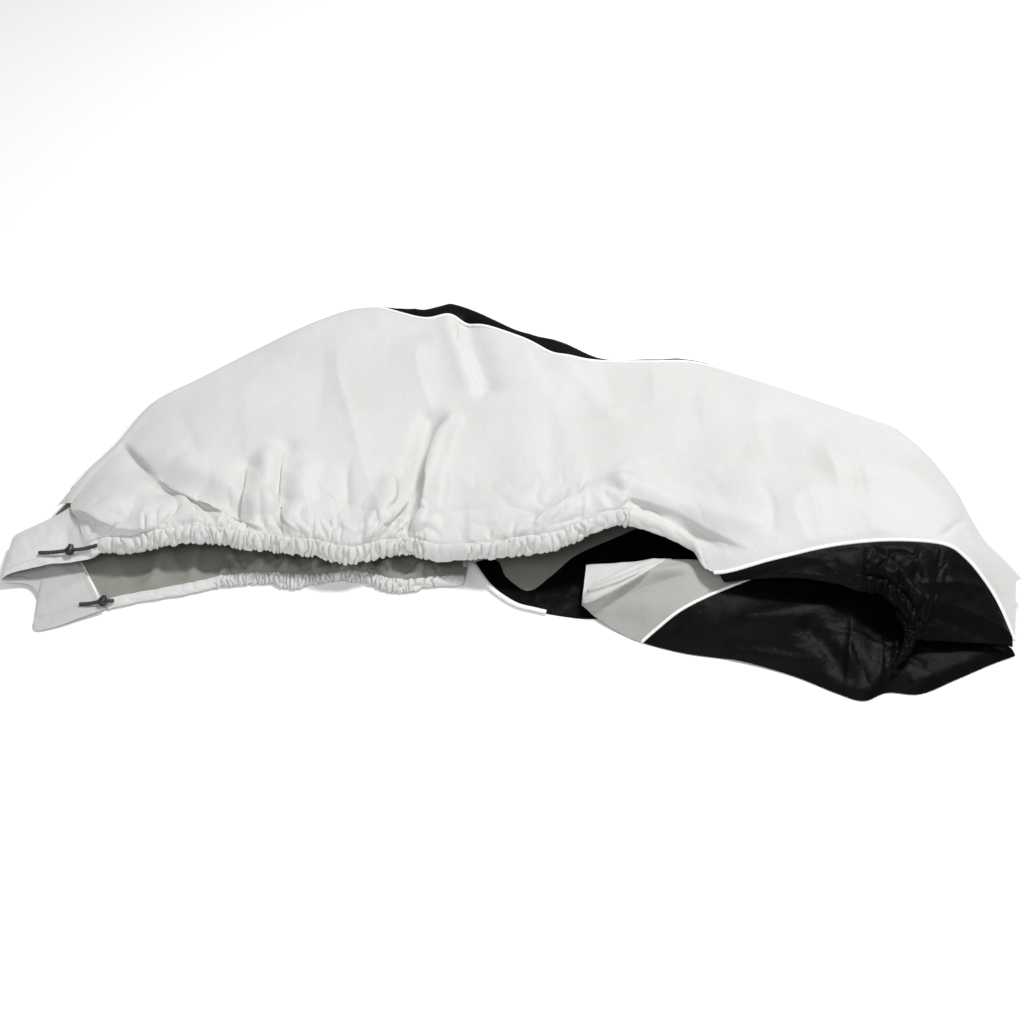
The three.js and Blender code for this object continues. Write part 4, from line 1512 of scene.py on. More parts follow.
@dataclass
class StarboardPanel(GatheredSide):
    """Grey side that lies on top: its gathered casing and its wall, in a stern and a bow half."""

    node: str = "starboard_panel"
    name: str = "starboard"
    table: RowTable = field(default_factory=lambda: UPPER.table)
    draw: HemDraw = field(default_factory=lambda: HemDraw(UPPER_GATHERS, 11, CASING, 8.6))
    casing_end: float = HEM_END
    casing_fade: float = 0.6
    past_end: float = 0.5
    plain_steps: float = 0.4
    columns: int = 1150
    inner_rows: int = 6
    outer_rows: int = 15
    inner_over: float = -1.0
    outer_over: float = 1.2
    split: float = 9.3
    wall_columns: int = 350
    wall_rows: int = 102
    drawn_scale: float = 1.15

    def edge(self, place: Array) -> Array:
        """Front edge of the panel."""
        return upper_front(place)

    def trimmed(self, place: Array) -> tuple[Array, Array]:
        """How far the cloth stays off the bow piping, and off the crest for the ridge piping."""
        start = (1.0 - self.hemmed(place)) * SEAM_TUCK * UPPER.slant(place, "front")
        return start, UPPER.row(place)["pipe"] + SEAM_TUCK * UPPER.slant(place, "crest")

    def place_cloth(self, place: Array, run: Array, side: Array) -> Array:
        """Points of the cloth.

        Args:
            place: Places along the table.
            run: Distances from the hem's edge.
            side: 1 on the outer side and -1 on the inner side of the casing.

        Returns:
            The points in millimetres.
        """
        row = UPPER.row(place)
        hemmed = self.hemmed(place)
        width = CASING * hemmed
        start, end = self.trimmed(place)
        distance = row["length"] - start - run
        base, normal = UPPER.point(place, distance), UPPER.normal(place, distance)
        hem = row["frontX"]
        closed = self.closed(place)
        bulge = self.draw.casing_bulge(hem, run, width) * hemmed * closed
        near_pipe = ease(0.0, 45.0, distance - end)
        near_bow = 1.0 - (1.0 - hemmed) * (1.0 - ease(0.0, 40.0, run))
        height = self.draw.wave(hem, run) * hemmed * near_pipe * closed
        height += HEM_SWELL.swell(hem) * hemmed * np.exp(-run / 60.0) * closed
        free = near_pipe * near_bow * ease(0.6 * width, 1.3 * width + 1.0, run)
        drawn_height, lean_x, lean_y = drawn_shift(WALL_FOLDS, base)
        height += (self.drawn_scale * drawn_height + self.wrinkles(base)) * free
        down = unit(UPPER.point(place, distance + 1.5) - UPPER.point(place, distance - 1.5))
        base[:, 0] += lean_x * free
        base += down * (lean_y * free)[:, None]
        drawn = self.draw.strength(hem) * hemmed * closed
        scallop = 7.0 * (self.draw.puff(hem, run) - 0.5) * np.clip(1.0 - run / CASING, 0.0, 1.0) * drawn
        scallop += HEM_SWAY.swell(hem) * hemmed * np.exp(-run / CASING)
        return base + normal * (side * bulge + height)[:, None] + down * scallop[:, None]

    def wrinkles(self, base: Array) -> Array:
        """Height of the soft unevenness of the wall."""
        x, y = base[:, 0], base[:, 1]
        broad = 6.0 * (ridges(x / 190.0 + y / 700.0, y / 330.0 - x / 900.0, 21) - 0.45)
        return broad + WALL_SWELL.at(x, y) + WALL_CRUMPLE.at(x, y)

    def wall(self, name: str, first: float, last: float) -> Piece:
        """Makes one half of the wall, its rows closer together near the hem.

        Args:
            name: Name of the piece.
            first: Place of its first edge.
            last: Place of its last edge.

        Returns:
            The new object.
        """
        columns, rows = self.wall_columns, self.wall_rows
        places = spaced_places(self.edge, first, last, columns, np.ones_like)

        def form(column: Array, row: Array) -> Array:
            """Point of the cloth for each column and row."""
            place = np.interp(column, np.arange(columns + 1), places)
            start, end = self.trimmed(place)
            total = UPPER.row(place)["length"] - start - end
            low = (CASING - 1.0) * self.hemmed(place)
            share = row / rows
            run = low + (total - low) * (0.45 * share + 0.55 * share**2.2)
            return self.place_cloth(place, run, np.zeros_like(place))

        return self.finishes.grey_cloth().cut(name, (columns, rows), form, Facing.UP, self.node)

    def build(self) -> list[Piece]:
        """Makes the panel and its stitching.

        Returns:
            The two halves of the wall and the casing.
        """
        pieces = [
            self.wall("starboard_stern_half", 0.0, self.split),
            self.wall("starboard_bow_half", self.split, LAST_ROW),
            self.hem(),
        ]
        self.stitch(0.2, 1600, CASING + 1.0, 0.0)
        return pieces


@dataclass
class BlackStrip:
    """Black strip from the ridge piping down the back to the port piping."""

    finishes: Finishes
    columns: int = 400
    rows: int = 26
    crest: tuple[Array, Array] = field(init=False)

    def __post_init__(self) -> None:
        """Measures the crest, for folds that are evenly wide along it."""
        place = np.linspace(0.0, LAST_ROW, 600)
        self.crest = (place, run_along(corner(UPPER.row(place), "crest")[:, :2]))

    def form(self, column: Array, row: Array) -> Array:
        """Point of the cloth for each place of its grid.

        Args:
            column: Columns of the grid.
            row: Rows of the grid.

        Returns:
            The points in millimetres.
        """
        place = STRIP_START + column / self.columns * (STRIP_END - STRIP_START)
        table = UPPER.row(place)
        start = table["pipe"] - SEAM_TUCK * UPPER.slant(place, "crest")
        end = -(UPPER.back_lengths(table["crestZ"])[:, -1] - PIPING_RADIUS - 1.0)
        share = row / self.rows
        distance = start + (end - start) * share
        base, normal = UPPER.point(place, distance), UPPER.normal(place, distance)
        along = np.interp(place, *self.crest)
        middle = np.sin(np.pi * share)
        puckers = np.sin(along / 3.4 + 2.0 * soft_noise(along / 30.0, share, 33))
        height = 7.0 * (ridges(along / 85.0, share * 1.3, 31) - 0.5)
        height += 2.0 * soft_noise(along / 28.0 + share * 1.5, share * 3.0, 32)
        height += puckers * np.exp(-np.minimum(share, 1 - share) * 30.0)
        placed = base + normal * (height * middle)[:, None]
        placed[:, 2] = np.maximum(placed[:, 2], FLOOR_GAP)
        return placed

    def build(self) -> Piece:
        """Makes the strip.

        Returns:
            The strip.
        """
        cloth = self.finishes.black_cloth()
        return cloth.cut("black_strip", (self.columns, self.rows), self.form, Facing.BACK, "centre_strip")


PORT = RowTable(PORT_COLUMNS, PORT_ROWS, "row")
BAND = RowTable(BAND_COLUMNS, BAND_ROWS, "row")
BOW = RowTable(BOW_COLUMNS, BOW_ROWS)
TRANSOM = RowTable(TRANSOM_COLUMNS, TRANSOM_ROWS)


def foot_point(place: Array) -> Array:
    """Where the port piping lies on the floor at the foot of the back."""
    foot = corner(UPPER.row(place), "crest")
    foot[:, :2] += UPPER.outward(place) * BACK_REACH
    foot[:, 2] = PIPING_RADIUS
    return foot


@dataclass
class PortPanel(GatheredSide):
    """Grey side that lies on the floor, its inner side seen through the mouth."""

    node: str = "port_panel"
    name: str = "port"
    table: RowTable = field(default_factory=lambda: PORT)
    draw: HemDraw = field(default_factory=lambda: HemDraw(PORT_GATHERS, 41, CASING, 8.2))
    casing_end: float = PORT_HEM_END
    casing_fade: float = 0.4
    past_end: float = 0.3
    plain_steps: float = 0.3
    columns: int = 900
    inner_rows: int = 16
    outer_rows: int = 8
    inner_over: float = 1.2
    outer_over: float = -1.0
    floor_columns: int = 340
    floor_rows: int = 66

    def edge(self, place: Array) -> Array:
        """Front edge of the panel."""
        return corner(PORT.at(place), "front")

    def back(self, place: Array) -> tuple[Array, Array]:
        """Back edge of the panel, and how far it is from the front edge."""
        back = foot_point(place)
        back[:, :2] -= UPPER.outward(place) * SEAM_TUCK
        front = self.edge(place)
        return back, np.hypot(back[:, 0] - front[:, 0], back[:, 1] - front[:, 1])

    def place_cloth(self, place: Array, run: Array, side: Array) -> Array:
        """Points of the cloth.

        Args:
            place: Places along the table.
            run: Distances from the front edge.
            side: 1 on the outer side, underneath, and -1 on the inner side of the casing.

        Returns:
            The points in millimetres.
        """
        hemmed = self.hemmed(place)
        table = PORT.at(place)
        back, length = self.back(place)
        share = run / length
        x = table["frontX"] + (back[:, 0] - table["frontX"]) * share
        y = table["frontY"] + (back[:, 1] - table["frontY"]) * share
        rise = table["lift"] * np.exp(-((run / 70.0) ** 2)) * np.maximum(1.0 - run / 200.0, 0.0)
        waves = fold_height(PORT_FOLDS, x, y) * np.minimum(run / 60.0, 1.0)
        flat = np.stack([x, y, np.zeros_like(x)], axis=1)
        waves += drawn_folds(MOUTH_FOLDS, flat) * ease(CASING, CASING + 25.0, run)
        floor = CLOTH / 2 + np.maximum(rise + waves, 0.0)
        closed = self.closed(place)
        puff = self.draw.puff(x, run)
        casing = table["lift"] + (run - CASING / 2) * 0.22
        z = np.where(run < CASING, casing, floor + (casing - floor) * np.exp(-(run - CASING) / 14.0))
        z = z * hemmed + floor * (1.0 - hemmed) + self.draw.wave(x, run) * hemmed * closed
        width = CASING * hemmed
        bulge = self.draw.casing_bulge(x, run, width) * hemmed * closed
        near_edge = np.clip(1.0 - run / CASING, 0.0, 1.0) * hemmed
        scallop = 6.0 * (puff - 0.5) * near_edge * self.draw.strength(x)
        scallop += (PORT_SWAY.swell(x) + fold_height(HEM_LUMPS, x, x * 0.0)) * near_edge
        z += PORT_CRUMPLE.at(x, y) * ease(40.0, 90.0, run)
        y = y - scallop + side * bulge * 0.2
        z = np.maximum(z - side * bulge, FLOOR_GAP)
        return np.stack([x, y, z], axis=1)

    def floor(self) -> Piece:
        """Makes the part that lies on the floor, its steps closer together in the mouth.

        Returns:
            The new object.
        """
        columns, rows = self.floor_columns, self.floor_rows
        places = spaced_places(
            self.edge, 0.0, PORT.last, columns, lambda place: 0.6 + 0.9 * (1.0 - ease(9.3, 10.4, place))
        )

        def form(column: Array, row: Array) -> Array:
            """Point of the cloth for each column and row."""
            place = np.interp(column, np.arange(columns + 1), places)
            low = (CASING - 1.0) * self.hemmed(place)
            _, length = self.back(place)
            share = row / rows
            run = low + (length - low) * (0.35 * share + 0.65 * share**2)
            return self.place_cloth(place, run, np.zeros_like(place))

        return self.finishes.grey_cloth().cut("port_side", (columns, rows), form, Facing.DOWN, self.node)

    def build(self) -> list[Piece]:
        """Makes the panel and its stitching.

        Returns:
            The part on the floor and the casing.
        """
        pieces = [self.floor(), self.hem()]
        self.stitch(0.1, 1300, CASING - 0.5, -1.0, np.array([0.0, -0.2, 1.0]))
        return pieces


@dataclass
class SternPanel:
    """Grey panel round the stern: over the top, round the left side and back below."""

    finishes: Finishes
    columns: int = 200
    rows: int = 38
    width: float = 210.0
    cross_seams: tuple[tuple[str, float], ...] = (
        ("upper_seam_a", 0.22), ("upper_seam_b", 0.34), ("lower_seam_a", 10.75), ("lower_seam_b", 10.87),
    )

    def place_cloth(self, place: Array, share: Array) -> Array:
        """Points of the cloth.

        Args:
            place: Places round the stern.
            share: Shares of the way from the back to the hem.

        Returns:
            The points in millimetres.
        """
        row = TRANSOM.at(place)
        back, hem = corner(row, "back"), corner(row, "hem")
        base = back + (hem - back) * share[:, None]
        base[:, 2] += row["arch"] * np.sin(np.pi * share)
        meet = np.zeros_like(place)
        seam = UPPER.point(meet, UPPER.row(meet)["length"] * share) - (-7.0, 0.0, 1.6)
        joined = 1.0 - ease(0.0, 1.1, place)
        base += (seam - base) * joined[:, None]
        across = np.hypot(*(hem - back)[:, :2].T)
        x, y = base[:, 0], base[:, 1]
        inner = np.sin(np.pi * share) * np.minimum(1.0, row["arch"] / 8.0)
        height = (STERN_SWELL.at(x, y) + STERN_CRUMPLE.at(x, y)) * inner
        height += drawn_folds(STERN_FOLDS, base)
        from_hem = (1.0 - share) * across
        height -= 1.4 * np.exp(-(((from_hem - STERN_HEM) / 2.6) ** 2)) * ease(0.0, 1.0, row["arch"] / 3.0)
        hem_roll = 1.6 * np.exp(-(((from_hem - STERN_HEM / 2) / 10.0) ** 2))
        height += hem_roll * (1.0 + STERN_HEM_ROLL.at(x, y))
        base[:, 2] = np.maximum(base[:, 2] + height, FLOOR_GAP)
        return base

    def form(self, column: Array, row: Array) -> Array:
        """Point of the cloth for each column and row of its grid."""
        return self.place_cloth(column / self.columns * TRANSOM.last, row / self.rows)

    def build(self) -> Piece:
        """Makes the panel and its seams.

        Returns:
            The panel.
        """
        finishes = self.finishes
        cloth = Cloth("grey_cloth", finishes.grey_thread, (finishes.grey, finishes.flap_inside))
        steps = (self.columns, self.rows)
        piece = cloth.cut("stern_panel", steps, self.form, Facing.STERN, "transom_panel")
        steps = np.linspace(0.0, 1.0, 300)
        self.seam("hem_seam", steps * TRANSOM.last, np.full_like(steps, 1.0 - STERN_HEM / self.width))
        for name, place in self.cross_seams:
            self.seam(name, np.full_like(steps, place), 0.05 + 0.92 * steps)
        return piece

    def seam(self, name: str, place: Array, share: Array) -> None:
        """Sews a seam through the places and shares."""
        line = self.place_cloth(place, share)
        self.finishes.grey_cloth().sew(f"stern_{name}", line, np.array([0.0, -0.35, 1.0]), 4.0)


@dataclass
class BowPanel:
    """Black panel under the bow piping, drawn together at its gathered hem."""

    finishes: Finishes
    columns: int = 290
    flap_rows: int = 8
    casing_rows: int = 12
    panel_rows: int = 68
    casing: float = 34.0
    low_length: Array = field(init=False)
    knots: Array = field(init=False)
    draw: HemDraw = field(init=False)

    def __post_init__(self) -> None:
        """Measures the low edge and lays its gathers out on it."""
        self.knots = np.linspace(0.0, BOW.last, 400)
        self.low_length = run_along(corner(BOW.at(self.knots), "low"))
        start, end = np.interp([BOW_GATHER_START, BOW_GATHER_END], self.knots, self.low_length)
        self.draw = HemDraw(((start, end, 21.0, 1.0),), 61, self.casing, 10.0)

    def drawn(self, place: Array) -> Array:
        """1 where the low edge is gathered and 0 where it is plain."""
        start, end = BOW_GATHER_START - 0.1, BOW_GATHER_END + 0.1
        return ease(start - 0.4, start + 0.4, place) * (1.0 - ease(end - 0.4, end + 0.4, place))

    def base(self, place: Array, run: Array) -> tuple[Array, Array, Array]:
        """Points of the panel without its folds.

        Args:
            place: Places along the panel.
            run: Distances from its low edge.

        Returns:
            The points, the directions up the panel and its lengths.
        """
        row = BOW.at(place)
        top, low = upper_front(row["top"]), corner(row, "low")
        seam = unit(upper_front(np.minimum(row["top"] + 0.2, LAST_ROW)) - upper_front(row["top"] - 0.2))
        down = unit(low - top)
        drop = SEAM_TUCK / np.maximum(np.linalg.norm(np.cross(down, seam), axis=1), 0.25)
        start = top + down * drop[:, None]
        length = np.linalg.norm(low - start, axis=1)
        share = 1.0 - run / length
        points = start + (low - start) * share[:, None]
        points[:, 2] += row["swell"] * np.sin(np.pi * np.clip(share, 0.0, 1.0))
        return points, unit(start - low), length

    def place_cloth(self, place: Array, run: Array, side: Array) -> Array:
        """Points of the cloth.

        Args:
            place: Places along the panel.
            run: Distances from its low edge.
            side: 1 on the outer side and -1 on the inner side of the casing.

        Returns:
            The points in millimetres.
        """
        points, up, length = self.base(place, run)
        ahead, _, _ = self.base(np.minimum(place + 0.05, BOW.last), run)
        behind, _, _ = self.base(np.maximum(place - 0.05, 0.0), run)
        normal = unit(np.cross(ahead - behind, up))
        normal *= np.where(normal[:, 2] < 0, -1.0, 1.0)[:, None]
        along = np.interp(place, self.knots, self.low_length)
        drawn = self.drawn(place)
        puff = self.draw.puff(along, run)
        near_seam = ease(0.0, 32.0, length - run)
        height = self.draw.wave(along, run) * drawn * near_seam
        height += drawn_folds(BOW_FOLDS, points) * near_seam * ease(-5.0, 22.0, run + 22.0 * (1 - drawn))
        x, y = points[:, 0], points[:, 1]
        height += 4.0 * (ridges(x / 120.0, y / 60.0 + x / 300.0, 62) - 0.5) * near_seam
        height += BOW_CRUMPLE.at(x, y) * near_seam
        width = np.minimum(self.casing, 0.3 * length)
        bulge = self.draw.casing_bulge(along, run, width) * drawn
        bulge += np.where(side < 0, (1.0 - drawn) * 1.4, 0.0)
        scallop = 7.0 * (puff - 0.5) * np.clip(1.0 - run / self.casing, 0.0, 1.0) * drawn
        placed = points + normal * (side * bulge + height)[:, None] - up * scallop[:, None]
        placed[:, 2] = np.maximum(placed[:, 2], FLOOR_GAP)
        return placed

    def form(self, column: Array, row: Array) -> Array:
        """Point of the cloth for each place of its grid.

        Args:
            column: Columns of the grid.
            row: Rows of the grid.

        Returns:
            The points in millimetres.
        """
        place = np.interp(column / self.columns * self.low_length[-1], self.low_length, self.knots)
        edge, seam = self.flap_rows, self.flap_rows + self.casing_rows
        drawn = self.drawn(place)
        flap = self.casing * drawn + 8.0 * (1.0 - drawn)
        _, _, length = self.base(place, np.zeros_like(place))
        casing = np.minimum(self.casing, 0.3 * length)
        flap = np.minimum(flap, casing)
        inner = flap / 2 * (1.0 + half_turn(row, edge))
        outer = casing / 2 * (1.0 - half_turn(row - edge, self.casing_rows))
        panel = casing + (length - casing) * (row - seam).clip(0.0) / self.panel_rows
        run = np.select([row < edge, row < seam], [inner, outer], panel)
        return self.place_cloth(place, run, np.where(row < edge, -1.0, 1.0))

    def build(self) -> Piece:
        """Makes the panel and its stitching.

        Returns:
            The panel.
        """
        steps = (self.columns, self.flap_rows + self.casing_rows + self.panel_rows)
        piece = self.finishes.black_cloth().cut("bow_side", steps, self.form, Facing.FRONT, "bow_panel")
        place = np.linspace(BOW_GATHER_START, BOW_GATHER_END, 300)
        run = np.full_like(place, self.casing)
        line = self.place_cloth(place, run, np.ones_like(place))
        self.finishes.black_cloth().sew("bow_hem_stitches", line, np.array([0.0, -0.7, 0.7]))
        self.tail()
        return piece

    def tail(self) -> Piece:
        """Makes the end of the gathered hem, which hangs down to the apron.

        Returns:
            The end of the hem.
        """
        line = smooth_route(TAIL_ROUTE, 260)
        run = run_along(line)
        share = run / run[-1]
        radii = 13.0 * np.sin(np.pi * (0.12 + 0.83 * share)) ** 0.7
        tail = closed_tube("bow_hem_end", line, radii, 36)
        places = np.array([vert.co[:] for vert in tail.data.vertices]) * 1000.0 + CENTRE
        near = np.array([np.argmin(np.sum((line - place) ** 2, axis=1)) for place in places])
        out = places - line[near]
        turn = np.arctan2(out[:, 2], out[:, 0])
        sway = 0.5 * soft_noise(run[near] / 14.0, turn * 1.3, 65)
        puff = cell_puffs(run[near] / 11.0 + sway, turn * 0.9 + 4.0, 66)
        places = line[near] + out * (0.72 + 0.42 * puff)[:, None]
        tail.data.vertices.foreach_set("co", metres(places).ravel())
        settle(tail, (self.finishes.black,))
        return tail


@dataclass
class BowBand:
    """Black band flat on the floor in the mouth."""

    finishes: Finishes
    columns: int = 220
    rows: int = 22

    def form(self, column: Array, row: Array) -> Array:
        """Point of the cloth for each place of its grid.

        Args:
            column: Columns of the grid.
            row: Rows of the grid.

        Returns:
            The points in millimetres.
        """
        first, last = BAND.knots[0], BAND.last
        place = first + (last - first) * (column / self.columns) ** 1.5
        band, panel = BAND.at(place), PORT.at(place)
        outer, inner = corner(band, "outer", CLOTH / 2), corner(panel, "front", CLOTH / 2)
        share = row / self.rows
        points = outer + (inner - outer) * share[:, None]
        x, y = points[:, 0], points[:, 1]
        rise = 4.5 * np.maximum(ridges(x / 42.0, y / 90.0, 71) - 0.45, 0.0)
        rise += np.maximum(BAND_CRUMPLE.at(x, y), 0.0)
        points[:, 2] += rise * np.sin(np.pi * share) ** 0.5
        return points

    def build(self) -> Piece:
        """Makes the band.

        Returns:
            The band.
        """
        cloth = self.finishes.black_cloth()
        return cloth.cut("bow_band_cloth", (self.columns, self.rows), self.form, Facing.UP, "bow_band")


def arch_distance(place: Array, share: Array) -> Array:
    """Distance from the arch's crest at shares of the way from its front to its back."""
    row = ARCH.row(place)
    end = -ARCH.back_lengths(row["crestZ"])[:, -1] * ARCH_BACK
    return row["length"] + (end - row["length"]) * share


@dataclass
class FoldedBow:
    """Cloth of the port side at the bow, folded back: a grey piece and a black one, sewn with piping."""

    finishes: Finishes
    seam_tuck: float = 0.014
    grey_columns: int = 120
    black_columns: int = 230
    rows: int = 70

    def place_cloth(self, place: Array, share: Array, folds: Rows, seed: int) -> Array:
        """Points of the cloth.

        Args:
            place: Places along the arch.
            share: Shares of the way from front to back.
            folds: Folds drawn on the front view.
            seed: Seed of its unevenness.

        Returns:
            The points in millimetres.
        """
        distance = arch_distance(place, share)
        base, normal = ARCH.point(place, distance), ARCH.normal(place, distance)
        x, y = base[:, 0], base[:, 1]
        height = drawn_folds(folds, base)
        height += 3.6 * (ridges(x / 130.0, y / 75.0 + x / 260.0, seed) - 0.5)
        height += soft_noise(x / 27.0, y / 21.0, seed + 1)
        height *= ease(0.0, 0.14, share) * ease(0.0, 0.35, np.abs(place - FOLD_SPLIT))
        placed = base + normal * height[:, None]
        placed[:, 2] = np.maximum(placed[:, 2], FLOOR_GAP)
        return placed

    def paint_shade_under_roll(self, grey: Piece) -> None:
        """Paints shade on the cloth under the roll: its faces take the darker painted-shade finish.

        Args:
            grey: The grey piece.
        """
        middles = np.empty(len(grey.data.polygons) * 3)
        grey.data.polygons.foreach_get("center", middles)
        across, down = photo_place(middles.reshape(-1, 3) * 1000.0 + CENTRE)
        # Faces under the roll line take the painted-shade finish
        below = down > np.interp(across, (584, 610, 640, 666, 700), (602, 594, 577, 559, 548))
        grey.data.polygons.foreach_set("material_index", np.where(below, 2, 0))

    def roll(self, name: str, route: Rows, radius: float) -> Piece:
        """Makes a rolled welt of cloth that lies on the grey piece.

        Args:
            name: Name of the piece.
            route: Its start, a pull point and its end on the view from the front.
            radius: Its radius at the thick end, in millimetres.

        Returns:
            The roll.
        """
        grids = np.meshgrid(np.linspace(0.0, FOLD_SPLIT, 160), np.linspace(0.0, 0.8, 160))
        cloth = self.place_cloth(grids[0].ravel(), grids[1].ravel(), GREY_FOLDS, ARCH_SEED)
        across, down = photo_place(cloth)
        steps = np.linspace(0.0, 1.0, 40)[:, None]
        start, pull, end = np.array(route, float)
        spots = pulled_curve(start, pull, end, steps)
        line = np.array([cloth[np.argsort(np.hypot(across - x, down - y))[:6]].mean(0) for x, y in spots])
        for _ in range(4):
            line[1:-1] = (line[:-2] + 2 * line[1:-1] + line[2:]) / 4
        radii = radius * (1.0 - 0.75 * steps[:, 0]) * (1.0 + 0.08 * np.sin(9.0 * steps[:, 0]))
        radii[0] *= 0.7
        line += np.outer(0.5 * radii, (0.0, -0.5, 0.87))
        roll = closed_tube(name, line, radii, 16, 1.25)
        settle(roll, (self.finishes.grey,))
        return roll

    def build(self) -> tuple[Piece, Piece]:
        """Makes both pieces.

        Returns:
            The grey piece and the black one.
        """
        split, start = FOLD_SPLIT - self.seam_tuck, FOLD_SPLIT + self.seam_tuck
        length = ARCH.table.last - start

        def grey_form(column: Array, row: Array) -> Array:
            """Point of the grey cloth for each column and row."""
            place = column / self.grey_columns * split
            return self.place_cloth(place, row / self.rows, GREY_FOLDS, ARCH_SEED)

        def black_form(column: Array, row: Array) -> Array:
            """Point of the black cloth for each column and row."""
            place = start + column / self.black_columns * length
            return self.place_cloth(place, row / self.rows, APRON_FOLDS, APRON_SEED)

        tones = self.finishes
        # Inner sides darkened as painted shade; slot 2 is the painted shade under the roll
        sides = (tones.grey, tones.grey_inside_painted_shade, tones.folded, tones.grey_inside_painted_shade)
        folded = Cloth("grey_cloth", tones.grey_thread, sides)
        steps = (self.grey_columns, self.rows)
        grey = folded.cut("bow_fold_cloth", steps, grey_form, Facing.UP, "bow_fold")
        self.paint_shade_under_roll(grey)
        self.roll("bow_fold_roll", ((584, 601), (610, 594), (666, 559)), 8.0)
        self.roll("bow_fold_small_roll", ((588, 591), (622, 582), (672, 556)), 4.5)
        steps = (self.black_columns, self.rows)
        black = self.finishes.black_cloth().cut("bow_apron_cloth", steps, black_form, Facing.UP, "bow_apron")
        return grey, black


@dataclass
class Pipings:
    """White piping of every seam."""

    finishes: Finishes
    sides: int = 9

    def tube(self, name: str, node: str, points: Array, widen: float = 1.0) -> None:
        """Makes one length of piping, its ends a little rounded.

        Args:
            name: Name of the piece.
            node: Solid that it stands for.
            points: Its line in millimetres.
            widen: How much wider it is across than it is thick.
        """
        radii = np.full(len(points), PIPING_RADIUS)
        radii[0] = radii[-1] = 0.6 * PIPING_RADIUS
        points = points.copy()
        points[:, 2] = np.maximum(points[:, 2], PIPING_RADIUS + 0.1)
        piece = closed_tube(name, points, radii, self.sides, widen)
        settle(piece, (self.finishes.vinyl,), [node])

    def build(self) -> None:
        """Makes the pipings of the ridge, the foot, the bow, the band and the fold."""
        place = np.linspace(STRIP_START, STRIP_END, 700)
        self.tube("ridge_piping", "starboard_piping", UPPER.point(place, UPPER.row(place)["pipe"]), 1.6)
        self.tube("foot_piping", "port_piping", foot_point(place))
        place = np.linspace(BOW_SEAM_START, LAST_ROW, 420)
        self.tube("bow_seam_piping", "bow_piping", upper_front(place), 1.6)
        place = np.linspace(BAND.knots[0] + 0.02, BAND_PIPING_END, 160)
        line = corner(BAND.at(place), "outer", CLOTH + 0.5 + PIPING_RADIUS)
        self.tube("band_seam_piping", "band_piping", line, 2.0)
        share = np.linspace(0.0, 1.0, 200)
        place = np.full_like(share, FOLD_SPLIT)
        self.tube("fold_seam_piping", "fold_piping", ARCH.point(place, arch_distance(place, share)), 1.3)


def smooth_route(points: Rows, count: int) -> Array:
    """Smooth centripetal curve through the points of a route.

    Args:
        points: Points of the route in millimetres.
        count: Number of points wanted.

    Returns:
        The points of the curve.
    """
    knots = np.array(points, float)
    ends = np.vstack([2 * knots[0] - knots[1], knots, 2 * knots[-1] - knots[-2]])
    times = np.concatenate([[0.0], np.cumsum(np.linalg.norm(np.diff(ends, axis=0), axis=1) ** 0.5)])
    found = []
    for t in np.linspace(times[1], times[-2], count):
        k = int(np.clip(np.searchsorted(times, t, side="right") - 1, 1, len(times) - 3))
        at, spots = times[k - 1 : k + 3], ends[k - 1 : k + 3]
        for lows, highs in (((0, 1, 2), (1, 2, 3)), ((0, 1), (2, 3)), ((1,), (2,))):
            spots = [
                ((at[high] - t) * spots[n] + (t - at[low]) * spots[n + 1]) / (at[high] - at[low])
                for n, (low, high) in enumerate(zip(lows, highs))
            ]
        found.append(spots[0])
    return np.array(found)


